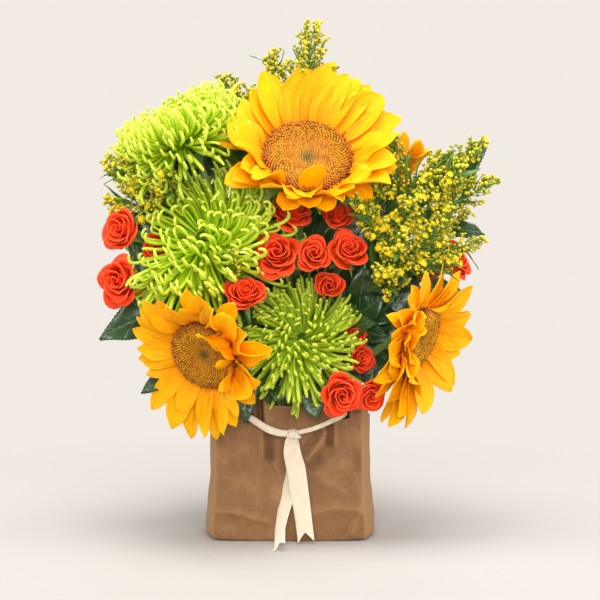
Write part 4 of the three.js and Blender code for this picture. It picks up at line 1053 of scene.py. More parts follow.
for side, flower in SUNFLOWERS.items():
    node = f"sunflower_{side}"
    stand = standing(flower["place"], flower["facing"])
    radius = flower["disc"]
    random = np.random.default_rng(flower["seed"] + 100)

    disc = turned(f"{node}_florets", [(share * radius, height) for share, height in DOME], 40, floret_gold)
    far = [math.hypot(point.co.x, point.co.y) / (radius * MM) for point in disc.data.vertices]
    mark_points(disc.data, "share", far)
    grown(disc, disc_tree, Florets=FLORETS_PER_RADIUS * radius, Radius=radius * 0.99 * MM, Bud=disc_bud,
          Star=disc_star, Seed=flower["seed"], Material=floret_gold)
    at_metres = Matrix.Translation(stand.translation * MM) @ stand.to_3x3().to_4x4()
    disc.data.transform(at_metres)
    disc.data.shade_smooth()
    place_piece(disc, "sunflower_disc", f"{node}_disc")

    grids, tones = ray_petals(flower)
    grids = [carried(stand, grid) for grid in grids]
    sheets(grids, f"{node}_rays", petal_gold, PETAL_THICK, "sunflower_petal", f"{node}_petals",
           marks={"tone": tones}, levels=0 if side.startswith("back") else 1)

    bracts = []
    for row, (count, start, height, rise, bend, long) in enumerate(BRACT_ROWS):
        for number in range(count):
            length = radius * long * random.uniform(0.85, 1.15)
            leaf = petal(
                random, length, radius * 0.3, rise + random.uniform(-8, 8), bend + random.uniform(-16, 16),
                (radius * start, height), cup=0.25, ribs=0.15, rows=9, columns=7,
                aside=random.uniform(-0.1, 0.1), outline=BRACT_OUTLINE,
            )
            turn = (number + 0.5 * row + random.uniform(-0.15, 0.15)) * 360 / count
            bracts.append(carried(stand, spun(leaf, turn)))
    sheets(bracts, f"{node}_bracts", bract_green, BRACT_THICK, "stem_green")
    cup = turned(f"{node}_cup", [(share * radius, height) for share, height in CUP], 32, stem_green)
    cup.data.transform(at_metres)
    place_piece(cup, "stem_green")
    stalk(f"{node}_stem", f"{node}_stalk", 0.5, stand, STALK_END)

# ---------------------------------------------------------------- spray roses
# Six branched stems of small orange-red spray roses. Each bloom is a tight spiral of cupped petals
# whose rims roll outwards, over five green sepals; the outer petals are orange at the foot. The rims are
# paler, partly in the petals' own coral and partly as a painted highlight, and the heart darkens with painted
# shade.

# Each bloom: its node, the middle of the bloom at its rim in mm, the way it faces, its radius, how
# far it is open
ROSE_SPRAYS = {
    "centre": [
        ("rose_centre", (-11, -70, 255), (-0.1, -0.9, 0.4), 20.5, 0.8),
        ("rose_centre", (20.5, -71, 255), (0.1, -0.95, 0.3), 16, 0.4),
        ("rose_centre", (50, -66, 258), (0.15, -0.82, 0.55), 18.5, 0.5),
        ("rose_under_sunflower", (2, -47, 290), (0.3, -0.62, 0.72), 18, 1),
        ("rose_behind_centre", (42, -42, 286), (0, -0.8, 0.6), 15, 0.6),
        ("rose_shaded", (34, -54, 226), (0.1, -0.95, 0.2), 13.5, 0.4),
    ],
    "front": [("rose_front", (-38, -84, 223), (0.05, -0.75, 0.65), 18.5, 0.5)],
    "left": [
        ("rose_left_low", (-149, -48, 230), (-0.45, -0.88, 0.1), 20.5, 0.9),
        ("rose_left_high", (-148, -38, 274), (-0.55, -0.8, 0.15), 19.5, 0.7),
        ("rose_left_inner", (-117, -35, 258), (-0.1, -0.95, 0.3), 13.5, 0.4),
    ],
    "low": [
        ("rose_low_pair", (45, -82, 134.5), (0.1, -0.97, -0.2), 18.5, 0.8),
        ("rose_low_pair", (69, -73, 133), (0.3, -0.9, -0.25), 15.5, 0.5),
        ("rose_low_shaded", (62, -52, 162), (0.55, -0.8, 0.1), 14, 0.5),
        ("rose_low_shaded", (58, -42, 182), (0.5, -0.85, 0.1), 13, 0.4),
    ],
    "right": [
        ("rose_right", (146, -18, 248), (0.6, -0.5, 0.6), 18, 0.9),
        ("rose_right", (120, -24, 238), (0.2, -0.8, 0.5), 14, 0.4),
        ("rose_back_right", (104, 60, 234), (0.75, 0.6, 0.2), 17, 0.6),
    ],
    "back": [
        ("rose_back_middle", (-45, 84, 262), (-0.3, 0.85, 0.4), 18.5, 0.8),
        ("rose_back_middle", (-14, 90, 268), (0, 0.9, 0.4), 17, 0.5),
        ("rose_back_high", (32, 86, 262), (0.3, 0.85, 0.3), 18.5, 0.7),
        ("rose_back_low_left", (-58, 76, 172), (-0.4, 0.9, 0), 18, 0.6),
        ("rose_back_low_right", (72, 70, 166), (0.5, 0.85, -0.1), 17, 0.7),
    ],
}
ROSE_PETALS = 21
ROSE_TURN = 137.5  # degrees from each petal to the next, from the heart outwards
ROSE_THICK = 0.4 * MM
SEPALS = 5
SEPAL_THICK = 0.45 * MM
SMALL_ROSE = (15, 15)  # up to this radius a rose has only so many petals
SEPAL_OUTLINE = ([0, 0.15, 0.4, 0.7, 1], [0.9, 1, 0.8, 0.35, 0.03])


def rose_petal(random, radius, share, opening):
    """A cupped petal of a rose, share 0 in its heart and 1 outermost, its middle towards +X."""
    v = np.linspace(0, 1, 12)[:, None]
    u = np.linspace(-1, 1, 11)[None, :]
    span = np.interp(share, [0, 0.15, 0.5, 1], [2.4, 1.7, 1.15, 0.95]) * random.uniform(0.9, 1.12)
    flare = opening * held((share - 0.35) / 0.65)
    rim = radius * (0.05 + 0.8 * share**0.85)
    top = radius * np.interp(share, [0, 0.25, 0.6, 1], [0.34, 0.42, 0.34, 0.16 - 0.16 * opening])
    top += radius * random.uniform(-0.12, 0.09)
    height = v * (1 - 0.26 * np.abs(u) ** 2.4)
    bulge = [0.12 + 0.16 * share, 0.6, 0.98, 1.06, 1.0, 1.02]
    belly = np.interp(height, [0, 0.15, 0.4, 0.68, 0.88, 1], bulge)
    out = rim * belly + radius * (0.04 + 0.26 * flare) * held((height - 0.62) / 0.38) ** 1.5
    out = out + radius * 0.13 * u * (0.3 + 0.7 * height) * np.interp(share, [0, 0.3, 1], [0.8, 0.8, 0.45])
    phase = random.uniform(0, 6.3)
    out = out + radius * 0.07 * np.sin(3.1 * u + phase) * height**2 * (0.4 + share)
    lip = held((height - 0.86) / 0.14) ** 1.7
    out = out + radius * (0.03 + 0.13 * share) * lip
    z = -0.7 * radius + (top + 0.7 * radius) * height**0.85
    z = z - radius * (0.02 + 0.12 * flare) * lip - radius * 0.16 * flare * held(height - 0.7)
    z = z + radius * 0.08 * np.sin(2.6 * u + phase * 1.7) * height**2
    point = np.exp(-((u / 0.2) ** 2)) * radius * 0.08 * share * height**5
    turn = span * u * (0.35 + 0.65 * np.sin(np.clip(height * 1.9 + 0.25, 0, math.pi / 2)))
    return np.stack([out * np.cos(turn), out * np.sin(turn), z + point], -1)


rose_red, add = finish(
    "rose_petal", Roughness=0.55, Specular_IOR_Level=0.12,
    Subsurface_Weight=0.2, Subsurface_Radius=(1, 0.2, 0.05), Subsurface_Scale=0.003,
)
uv = spot_of(add, "UV")
v = add("SeparateXYZ", {"Vector": uv}).outputs["Y"]
layer = marked(add, "layer")
tone = marked(add, "tone")
veins = speckle(add, stretched(add, uv, (1, 0.12, 1)), 26, 4)
blush = speckle(add, spot_of(add), 130, 3)
# The outer petals: orange at the foot, their pale coral rim partly the petals' own colour and partly a
# painted highlight.
outside = ramp(add, v, [
    (0, (0.95, 0.22, 0.004)), (0.45, (0.86, 0.07, 0.004)), (0.84, (0.82, 0.034, 0.004)),
    (0.95, (0.90, 0.055, 0.01)), (1, (1.0, 0.14, 0.05)),
])
# The heart's petals: deep red that darkens towards their foot as painted shade between the petals, with a
# pale rim that is partly a painted highlight.
inside = ramp(add, v, [
    (0, (0.50, 0.010, 0.002)), (0.6, (0.76, 0.022, 0.003)), (0.92, (0.88, 0.04, 0.007)),
    (1, (1.0, 0.12, 0.04)),
])
tint = mixed(add, fade(add, layer, 0.15, 0.85), inside, outside)
tint = mixed(add, fade(add, veins, 0.4, 0.75, 0.25), tint, (0.80, 0.03, 0.012))
tint = mixed(add, fade(add, blush, 0.5, 0.8, 0.25), tint, (1.0, 0.11, 0.02))
tint = mixed(add, fade(add, tone, 0.5, 1, 0.22), tint, (1.0, 0.12, 0.02))
dress(rose_red, tint, relief(add, veins, 0.35, 0.0005))

for number, (spray, blooms) in enumerate(ROSE_SPRAYS.items()):
    random = np.random.default_rng(300 + number)
    petals, sepals, layers, tones = {}, [], {}, {}
    for node, place, facing, radius, opening in blooms:
        stand = standing(place, facing)
        count = ROSE_PETALS if radius > SMALL_ROSE[0] else SMALL_ROSE[1]
        for i in range(count):
            share = ((i + 0.6) / count) ** 0.95
            turn = i * ROSE_TURN + random.uniform(-24, 24)
            shape = spun(rose_petal(random, radius * 0.93, share, opening), turn)
            petals.setdefault(node, []).append(carried(stand, shape))
            layers.setdefault(node, []).append(share)
            tones.setdefault(node, []).append(random.uniform(0, 1))
        for i in range(SEPALS):
            sepal = petal(
                random, radius * random.uniform(0.8, 1.05), radius * 0.3, 8 + random.uniform(-14, 20),
                -30 + random.uniform(-30, 20), (radius * 0.16, -0.72 * radius), cup=0.25, ribs=0.1, rows=9,
                columns=5, curl=random.uniform(-60, 20), outline=SEPAL_OUTLINE,
            )
            sepals.append(carried(stand, spun(sepal, 360 / SEPALS * i + random.uniform(-8, 8))))
    for node, grids in petals.items():
        sheets(grids, f"{node}_bloom", rose_red, ROSE_THICK, "rose_petal", node,
               marks={"layer": layers[node], "tone": tones[node]})
    sheets(sepals, f"rose_{spray}_sepals", bract_green, SEPAL_THICK, "stem_green")
    stalk(f"rose_spray_{spray}_stem", f"rose_{spray}_stalk", 0.35)

# ---------------------------------------------------------------- spider chrysanthemums
# Five lime-green spider mums. Every ray is a rolled quill that opens into a small hooked spoon;
# the inner ones stand close and curl over the middle, the outer ones arch out and hang.

# place is the heart that the quills stand on, in mm; reach and crown are the outer and inner length;
# spread is the angle from the middle to the outermost quill; deep is how much painted shade darkens the
# green towards olive, open how far the inner quills have let go of the middle
MUMS = {
    "top": dict(
        place=(-94, -8, 351), facing=(-0.44, -0.16, 0.88), reach=66, crown=57, spread=108,
        quills=440, deep=0, open=0.1, seed=21,
    ),
    "middle": dict(
        place=(-75, -45, 266), facing=(-0.35, -0.7, 0.62), reach=90, crown=56, spread=126,
        quills=430, deep=0.14, open=0.35, seed=22,
    ),
    "front": dict(
        place=(10, -58, 181), facing=(0, -0.9, 0.42), reach=66, crown=36, spread=122,
        quills=330, deep=0.6, open=0.3, seed=23,
    ),
    "back_top": dict(
        place=(-38, 42, 343), facing=(0, 0.6, 0.8), reach=58, crown=40, spread=118,
        quills=300, deep=0.2, open=0.2, seed=24,
    ),
    "back": dict(
        place=(10, 54, 200), facing=(0.05, 0.93, 0.35), reach=60, crown=36, spread=122,
        quills=320, deep=0.6, open=0.5, seed=25,
    ),
}
QUILL_STATIONS = np.array([0, 0.1, 0.2, 0.32, 0.44, 0.56, 0.68, 0.77, 0.83, 0.88, 0.92, 0.96, 1])
# Shares of a quill's length, and the share of its full radius there
QUILL_GIRTH = ([0, 0.2, 0.5, 0.8, 0.93, 1], [0.7, 0.9, 1.0, 1.0, 0.95, 0.6])
QUILL_RADIUS = 1.5
MUM_BRACT_THICK = 0.5 * MM
MUM_BRACTS = (16, 16, 12)  # in the outer, second and inner row
ROSE_SOLID = 0.92  # the share of a rose's radius that no quill enters


def quill_lines(mum):
    """The middle line, tone and rank of every quill, in the flower's own frame and mm."""
    random = np.random.default_rng(mum["seed"])
    along = QUILL_STATIONS
    spread = math.radians(mum["spread"])
    lines, tones, ranks = [], [], []
    for number in range(mum["quills"]):
        polar = math.acos(1 - (1 - math.cos(spread)) * (number + 0.5) / mum["quills"])
        outer = polar / spread
        turn = number * GOLDEN_TURN + random.uniform(-0.12, 0.12)
        length = mum["crown"] + (mum["reach"] - mum["crown"]) * outer**1.3
        length *= random.uniform(0.86 - 0.14 * mum["open"], 1.08)
        length *= np.interp(outer, [0, 0.3, 0.45, 1], [0.62, 0.86, 1, 1])
        flare = np.interp(outer, [0, 0.15, 0.4, 0.7, 1], [30, 46, 34, 8, 0]) * (1 + 0.25 * mum["open"])
        close = np.interp(outer, [0, 0.2, 0.45, 0.7, 1], [120, 112, 74, 30, -26]) * random.uniform(0.85, 1.15)
        close *= 1 - 0.85 * mum["open"] * min(1, max(0, 4 * outer - 0.5))
        hook = np.interp(outer, [0, 0.4, 0.7, 1], [80, 120, 140, 120]) * random.uniform(0.5, 1.4)
        if random.uniform() < 0.12 * outer:
            hook *= -0.5
        curl = close * along**1.3 + hook * held((along - 0.78) / 0.22) ** 1.2
        lean = np.radians(np.degrees(polar) + flare - curl + random.uniform(-5, 5) * along)
        swirl = np.interp(outer, [0, 0.5, 1], [1.5, 0.8, 0.1]) * random.uniform(0.6, 1.3)
        sideways = turn + (random.uniform(-0.22, 0.22) * (1 + 2 * mum["open"]) + swirl) * along**1.5
        out = np.sin(lean)
        heading = np.stack([out * np.cos(sideways), out * np.sin(sideways), np.cos(lean)], 1)
        steps = heading[:-1] * (np.diff(along) * length)[:, None]
        lines.append(mum["crown"] * 0.13 * heading[0] + np.concatenate([[(0, 0, 0)], np.cumsum(steps, 0)]))
        tones.append(random.uniform(0, 1))
        ranks.append(outer)
    return lines, tones, ranks


def clear_of_roses(line):
    """Whether a line of points, in mm, passes outside every rose."""
    blooms = [(place, radius) for spray in ROSE_SPRAYS.values() for _, place, _, radius, _ in spray]
    return all(np.linalg.norm(line - place, axis=1).min() > ROSE_SOLID * radius for place, radius in blooms)


def skeleton(name, lines, **marks):
    """A mesh of loose edges, one row for each line; marks hold one list of numbers for each line's points."""
    mesh = bpy.data.meshes.new(name)
    edges, start = [], 0
    for line in lines:
        edges += [(start + i, start + i + 1) for i in range(len(line) - 1)]
        start += len(line)
    mesh.from_pydata([tuple(p) for p in np.concatenate(lines) * MM], edges, [])
    for mark, numbers in marks.items():
        mark_points(mesh, mark, np.concatenate(numbers))
    return shown(name, mesh)


def swept(add, given, sides):
    """Round section carried along every row of loose edges, as thick as each point's girth says."""
    rows = add("MeshToCurve", {"Mesh": given["Geometry"]}).outputs[0]
    section = add("CurvePrimitiveCircle", {"Resolution": sides, "Radius": given["Radius"]}).outputs[0]
    girth = add("InputNamedAttribute", {"Name": "girth"}, data_type="FLOAT").outputs[0]
    swept_rows = {"Curve": rows, "Profile Curve": section, "Scale": girth, "Fill Caps": True}
    return add("CurveToMesh", swept_rows).outputs[0]


sweep_tree, add, given = new_tree("swept_lines", Sides="Int", Radius="Float")
end_tree(sweep_tree, add, given, [swept(add, given, given["Sides"])])

quill_lime, add = finish(
    "mum_quill", Roughness=0.5, Specular_IOR_Level=0.25,
    Subsurface_Weight=0.3, Subsurface_Radius=(0.8, 1, 0.1), Subsurface_Scale=0.004,
)
level = marked(add, "level")
tone = marked(add, "tone")
deep = marked(add, "deep")
mottle = speckle(add, spot_of(add), 320, 3)
bright = ramp(add, level, [
    (0, (0.24, 0.42, 0.008)), (0.3, (0.42, 0.63, 0.012)), (0.7, (0.53, 0.71, 0.02)), (1, (0.70, 0.82, 0.11)),
])
shaded_olive = ramp(add, level, [(0, (0.08, 0.15, 0.008)), (0.5, (0.24, 0.36, 0.012)), (1, (0.50, 0.62, 0.06))])
# Painted shade: deep mixes the lime towards a darker olive, most on the front and back mums.
tint = mixed(add, deep, bright, shaded_olive)
tint = mixed(add, fade(add, tone, 0.5, 1, 0.4), tint, (0.64, 0.76, 0.08))
tint = mixed(add, fade(add, mottle, 0.5, 0.8, 0.25), tint, (0.30, 0.44, 0.01))
dress(quill_lime, tint, relief(add, mottle, 0.25, 0.0004))

for side, mum in MUMS.items():
    node = f"mum_{side}"
    stand = standing(mum["place"], mum["facing"])
    quills = [(carried(stand, line), tone, rank) for line, tone, rank in zip(*quill_lines(mum))]
    lines, tones, ranks = zip(*[quill for quill in quills if clear_of_roses(quill[0])])
    random = np.random.default_rng(mum["seed"] + 50)
    size = [random.uniform(0.85, 1.12) * (0.82 + 0.3 * rank) for rank in ranks]
    count = len(QUILL_STATIONS)
    # deep carries painted shade: the flower's own amount, and more on its outermost quills.
    flower = skeleton(
        node, lines, girth=[np.interp(QUILL_STATIONS, *QUILL_GIRTH) * share for share in size],
        level=[QUILL_STATIONS] * len(lines), tone=[np.full(count, tone) for tone in tones],
        deep=[np.full(count, min(1, mum["deep"] + max(0, rank - 0.72) * 2.2)) for rank in ranks],
    )
    radius = QUILL_RADIUS * (1 + 0.3 * mum["open"]) * MM
    grown(flower, sweep_tree, Sides=6, Radius=radius, Material=quill_lime)
    flower.name = f"{node}_quills"
    flower.data.shade_smooth()
    place_piece(flower, "mum_quill", node)

    heart = mum["crown"] * 0.2
    bracts = []
    for row, count in enumerate(MUM_BRACTS):
        for number in range(count):
            rise = -random.uniform(20, 34) + 62 - 20 * row
            root = (heart * (0.8 - 0.2 * row), -heart * (0.5 + 0.3 * row))
            looks = dict(cup=0.2, ribs=0.05, rows=6, columns=5)
            leaf = petal(random, heart * 0.95, heart * 0.42, rise, 44, root, **looks)
            bracts.append(carried(stand, spun(leaf, (number + 0.5 * row) * 360 / count)))
    sheets(bracts, f"{node}_bracts", bract_green, MUM_BRACT_THICK, "stem_green")
    stalk(f"{node}_stem", f"{node}_stalk", 0.4)

# ---------------------------------------------------------------- goldenrod
# Five stems of goldenrod. Each forks into arching plumes of fine side branches, and these carry
# small round yellow-green buds on short stalks, some of them open into little yellow stars.

# foot and stem: where it stands and its route above the glass, in mm; plumes: the points of each
# axis, its width, and the share of open florets
GOLDENRODS = {
    "top": dict(
        foot=(5.5, 17.5), stem=[(16.2, 29.3, 165), (18.2, 29.9, 228), (13, 22, 285), (2, 8, 330)],
        plumes=[
            ([(2, 8, 330), (3, 10.7, 351), (6, 12, 372), (15, 6, 415), (20, 2, 447)], 50, 0.4),
            ([(2, 8, 330), (-7.7, 17, 345.6), (-24, 26, 360), (-43, 27, 386), (-58, 26, 404)], 36, 0.15),
            ([(2, 8, 330), (14.1, 12.7, 351), (30, 22, 372), (37, 30, 392), (40, 34, 402)], 30, 0.3),
            ([(3, 10, 350), (-6, 8, 380), (-12, 4, 404), (-14, 0, 424)], 36, 0.25),
        ],
    ),
    "right_high": dict(
        foot=(19.4, -4.3), stem=[(28.9, -5.8, 144), (49.7, -9.1, 185), (70.5, -12.5, 226), (80, -14, 270)],
        plumes=[
            ([(80, -14, 270), (88, -14.7, 285), (104, -16, 298), (142, -18, 326), (170, -22, 347)], 34, 0.15),
            ([(80, -14, 270), (84.8, -16.7, 284), (90, -20, 297), (93, -23, 328), (93, -21, 351)], 24, 0.35),
            ([(80, -14, 270), (92, -15.4, 278), (112, -18, 282), (150, -23, 300), (179, -28, 314)], 32, 0.2),
            ([(88, -15, 285), (100, -22, 301), (120, -28, 320), (136, -28, 336)], 28, 0.4),
            ([(92, -16, 279), (108, -28, 292), (134, -40, 312), (150, -42, 326)], 30, 0.6),
            ([(80, -14, 262), (78, -36, 284), (74, -48, 306), (68, -52, 320)], 28, 0.75),
            ([(80, -14, 270), (100, -4, 284), (128, 8, 306), (146, 14, 322)], 30, 0.3),
        ],
    ),
    "right_low": dict(
        foot=(24.8, 3.3), stem=[(31.9, -0.6, 131), (47.4, -9.3, 161), (62.9, -18, 190), (70, -22, 222)],
        plumes=[
            ([(70, -22, 222), (75.9, -30, 240.8), (86, -44, 258), (100, -62, 286), (108, -74, 304)],
             34, 0.75),
            ([(70, -22, 222), (78, -31.4, 237.5), (96, -40, 246), (136, -38, 256), (166, -34, 263)], 30, 0.4),
            ([(70, -22, 222), (78, -32.5, 225.8), (84, -50, 226), (82, -68, 234), (76, -77, 240)], 28, 0.5),
            ([(74, -28, 236), (78, -48, 256), (70, -66, 278), (56, -72, 300)], 26, 0.85),
            ([(76, -30, 236), (98, -50, 252), (124, -62, 272), (138, -64, 290)], 32, 0.7),
            ([(72, -26, 228), (92, -46, 236), (120, -56, 242), (142, -54, 244)], 28, 0.5),
            ([(74, -28, 232), (84, -52, 244), (94, -70, 258), (98, -78, 272)], 28, 0.8),
            ([(76, -28, 236), (102, -24, 250), (134, -12, 268), (154, -6, 284)], 28, 0.3),
        ],
    ),
    "left": dict(
        foot=(-22.6, 0.9), stem=[(-34.9, -5.4, 135), (-58.4, -9.2, 179), (-78.8, -9.7, 225), (-82, -6, 270)],
        plumes=[
            ([(-82, -6, 270), (-92, -10.7, 288.6), (-112, -18, 302), (-140, -26, 320), (-158, -30, 329)],
             42, 0.6),
            ([(-82, -6, 270), (-92.6, -8.7, 282), (-112, -14, 288), (-138, -24, 296), (-156, -28, 298)],
             40, 0.55),
            ([(-92, -10.7, 288.6), (-104, -30, 300), (-112, -46, 312), (-114, -56, 322)], 28, 0.6),
            ([(-58, -9, 179), (-54, -44, 212), (-46, -76, 234), (-48, -92, 254)], 20, 0.4),
        ],
    ),
    "back": dict(
        foot=(-1.1, 23.8), stem=[(-0.3, 26.3, 143), (1.4, 31.9, 185), (3.2, 37.5, 227), (4, 40, 270)],
        plumes=[
            ([(4, 40, 270), (26.2, 54.3, 256), (60, 78, 235), (80, 95, 250), (92, 104, 265)], 26, 0.5),
            ([(4, 40, 270), (-9.7, 50.6, 288), (-20, 72, 300), (-16, 94, 314), (-8, 110, 320)], 28, 0.4),
            ([(4, 40, 270), (-26.5, 45.4, 281), (-74, 60, 280), (-100, 74, 292), (-118, 84, 299)], 28, 0.3),
            ([(4, 40, 270), (30, 60, 292), (52, 84, 300), (64, 98, 304)], 28, 0.6),
            ([(-26, 45, 281), (-50, 70, 268), (-72, 92, 262), (-84, 102, 262)], 26, 0.5),
        ],
    ),
}
AXIS_POINTS = 26  # of a plume
BRANCH_SPACING = 1.9
BRANCH_STEPS = 5
BARE_SHARE = 0.34  # the share of a plume's axis below its first side branch
BUD_SPACING = 2.5
BUD_LENGTH = 3.3
STAR_WIDTH = 5.8
STAR_RAYS = 9
UPRIGHT = (10, 98)  # between these heights a stem stands upright in the glass, in mm
STEM_POINTS = 60
LEAFY_FROM = 24  # the first of the stem's points that carries leaves
LANCE_SPACING = 6  # between the narrow leaves, along the stem and the plumes
LANCE_THICK = 0.3 * MM


def stem_line(foot, bends):
    """The middle line of a stem that stands upright in the glass and then bends through these points."""
    return smooth_path([*[(*foot, height) for height in UPRIGHT], *bends], STEM_POINTS)


def point_on(line, shares, share):
    """The point of a line at a share of its length."""
    return np.array([np.interp(share, shares, line[:, axis]) for axis in range(3)])


def plume_lines(random, points, width, opened):
    """A plume's axis, side branches and bud stalks: the lines, their girths, and the size of the bud at
    each point, negative where it is an open floret."""
    axis = smooth_path(points, AXIS_POINTS)
    lines, girths, sizes = [axis], [np.linspace(1.0, 0.4, AXIS_POINTS)], [np.zeros(AXIS_POINTS)]
    steps = np.linalg.norm(np.diff(axis, axis=0), axis=1)
    total = steps.sum()
    reach = np.concatenate([[0], np.cumsum(steps)]) / total
    count = int(total * (1 - BARE_SHARE) / BRANCH_SPACING)
    up = np.array([0, 0, 1.0])
    for number in range(count + 1):
        local = (number + random.uniform(0, 0.5)) / (count + 0.5)
        share = BARE_SHARE + (1 - BARE_SHARE) * local
        root = point_on(axis, reach, share)
        ahead = point_on(axis, reach, min(share + 0.05, 1)) - root
        if np.linalg.norm(ahead) < 1e-6:
            ahead = axis[-1] - axis[-2]
        ahead = unit(ahead)
        side = unit(np.cross(ahead, random.normal(size=3)))
        length = width * (0.72 * (1 - local) ** 0.6 * min(1, 0.45 + 2.2 * local) + 0.14)
        length *= random.uniform(0.75, 1.15)
        lean = math.radians(np.interp(local, [0, 1], [62, 26]) + random.uniform(-10, 10))
        branch = [root]
        heading = ahead * math.cos(lean) + side * math.sin(lean)
        for _ in range(BRANCH_STEPS):
            branch.append(branch[-1] + heading * length / BRANCH_STEPS)
            heading = unit(heading + up * 0.10 + ahead * 0.05)
        branch = np.array(branch)
        lines.append(branch)
        girths.append(np.linspace(0.38, 0.24, len(branch)))
        sizes.append(np.zeros(len(branch)))
        buds = max(2, int(length / BUD_SPACING))
        for bud in range(buds):
            foot = point_on(branch, np.linspace(0, 1, len(branch)), 0.22 + 0.78 * (bud + 0.5) / buds)
            out = unit(np.cross(heading, random.normal(size=3)))
            out = unit(out * random.uniform(0.5, 1.1) + heading * 0.8 + up * 0.35)
            lines.append(np.array([foot, foot + out * random.uniform(1.2, 2.8)]))
            girths.append(np.array([0.2, 0.24]))
            size = random.uniform(0.75, 1.15)
            is_star = random.uniform() < opened * (0.95 - 0.6 * local)
            sizes.append(np.array([0, -size if is_star else size]))
    return lines, girths, sizes


def small_shape(name, points, faces, levels):
    """A shape that is not shown itself, only repeated; level drives its colour."""
    mesh = bpy.data.meshes.new(name)
    mesh.from_pydata(points, [], faces)
    mark_points(mesh, "level", levels)
    return bpy.data.objects.new(name, mesh)


def six_round(radius, height):
    """Six points round +Z."""
    return [(radius * math.cos(a), radius * math.sin(a), height) for a in np.arange(6) * math.pi / 3]


def bud_mesh(name):
    """A closed bud that stands on +Z, one unit long, its level 0.3 at the foot and 0.7 at the tip."""
    profile = [(0.0, 0.14), (0.16, 0.40), (0.5, 0.52), (0.84, 0.36), (1.0, 0.08)]
    points = [point for height, radius in profile for point in six_round(radius, height)]
    points += [(0, 0, 0), (0, 0, 1.03)]
    faces = grid_faces(len(profile), 6, True).tolist()
    faces += [((i + 1) % 6, i, 30) for i in range(6)] + [(24 + i, 24 + (i + 1) % 6, 31) for i in range(6)]
    made = small_shape(name, points, faces, [0.3 + 0.4 * min(point[2], 1) for point in points])
    made.data.shade_smooth()
    return made


def star_mesh(name):
    """An open floret one unit wide: nine thin rays round a small dome, on a narrow green foot."""
    ray = [  # radius, height, turn and level of its five points
        (0.13, 0.30, -0.3, 0.9), (0.13, 0.30, 0.3, 0.9), (0.36, 0.40, 0.2, 0.96), (0.52, 0.36, 0.0, 1),
        (0.36, 0.40, -0.2, 0.96),
    ]
    points, faces, levels = [(0, 0, 0.42)], [], [0.86]
    for i in range(STAR_RAYS):
        for r, z, turn, level in ray:
            a = i * math.tau / STAR_RAYS + turn
            points.append((r * math.cos(a), r * math.sin(a), z))
            levels.append(level)
        k = 1 + len(ray) * i
        after = 1 + len(ray) * ((i + 1) % STAR_RAYS)
        faces += [(k, k + 4, k + 3), (k, k + 3, k + 2, k + 1), (0, k, k + 1), (0, k + 1, after)]
    foot = len(points)
    points += six_round(0.05, 0.0) + six_round(0.14, 0.3)
    levels += [0.35] * 12
    faces += [(foot + i, foot + (i + 1) % 6, foot + 6 + (i + 1) % 6, foot + 6 + i) for i in range(6)]
    return small_shape(name, points, faces, levels)


# Sweeps the stalks and stands a bud, or an open floret, on every point whose size isn't zero.
plume_tree, add, given = new_tree(
    "plumes_of_buds", Bud="Object", Star="Object", Radius="Float", Length="Float", Width="Float", Seed="Int"
)
parts = [add("SetShadeSmooth", {0: swept(add, given, 4)}).outputs[0]]
spots = add("MeshToPoints", {"Mesh": given["Geometry"]}).outputs[0]
size = add("InputNamedAttribute", {"Name": "size"}, data_type="FLOAT").outputs[0]
facing = add("InputNamedAttribute", {"Name": "facing"}, data_type="FLOAT_VECTOR").outputs[0]
turn = add("FunctionNodeAlignRotationToVector", {"Vector": facing}).outputs[0]
for shape, sign, scale in [("Bud", 1.0, "Length"), ("Star", -1.0, "Width")]:
    signed = maths(add, "MULTIPLY", size, sign)
    chosen = add("FunctionNodeCompare", {0: signed, 1: 0.01}, operation="GREATER_THAN").outputs[0]
    lump = add("ObjectInfo", {"Object": given[shape]}).outputs["Geometry"]
    stood = add("InstanceOnPoints", {
        "Points": spots, "Selection": chosen, "Instance": lump, "Rotation": turn,
        "Scale": maths(add, "MULTIPLY", signed, given[scale]),
    }).outputs[0]
    parts.append(stored(add, stood, "tone", drawn(add, given["Seed"]), "INSTANCE"))
end_tree(plume_tree, add, given, parts)

goldenrod, add = finish("goldenrod", Roughness=0.6, Subsurface_Weight=0.1, Subsurface_Scale=0.0015)
level = marked(add, "level")
tone = marked(add, "tone")
grain = speckle(add, spot_of(add), 900, 3)
tint = ramp(add, level, [
    (0, (0.09, 0.20, 0.02)), (0.3, (0.15, 0.27, 0.02)), (0.42, (0.45, 0.42, 0.015)),
    (0.7, (0.92, 0.70, 0.02)), (0.85, (1.0, 0.68, 0.002)), (1, (1.0, 0.80, 0.003)),
])
young = ramp(add, level, [
    (0, (0.09, 0.20, 0.02)), (0.3, (0.13, 0.25, 0.02)), (0.45, (0.27, 0.33, 0.02)),
    (0.7, (0.54, 0.51, 0.035)), (0.85, (1.0, 0.70, 0.003)), (1, (1.0, 0.83, 0.005)),
])
tint = mixed(add, fade(add, tone, 0.35, 0.65), tint, young)
tint = mixed(add, fade(add, grain, 0.5, 0.8, 0.3), tint, (0.20, 0.24, 0.02))
dress(goldenrod, tint, relief(add, grain, 0.3, 0.0003))

# The narrow leaves are paler along the middle.
blade_green, add = finish("goldenrod_leaf", Roughness=0.5, Subsurface_Weight=0.1, Subsurface_Scale=0.0015)


def off_middle(add, uv):
    """How far a place lies from its leaf's middle line, in widths."""
    return maths(add, "ABSOLUTE", maths(add, "SUBTRACT", uv["X"], 0.5))


uv = add("SeparateXYZ", {"Vector": spot_of(add, "UV")}).outputs
off = off_middle(add, uv)
mottle = speckle(add, spot_of(add), 260, 4)
tint = ramp(add, mottle, [(0.3, (0.042, 0.125, 0.014)), (0.7, (0.10, 0.24, 0.025))])
tint = mixed(add, fade(add, off, 0.02, 0.07, 0, 1), tint, (0.30, 0.46, 0.10))
dress(blade_green, tint, relief(add, mottle, 0.4, 0.0004))

bud, star = bud_mesh("goldenrod_bud"), star_mesh("goldenrod_star")
LANCE = ([0, 0.12, 0.4, 0.75, 1], [0.3, 0.75, 1, 0.5, 0.03])


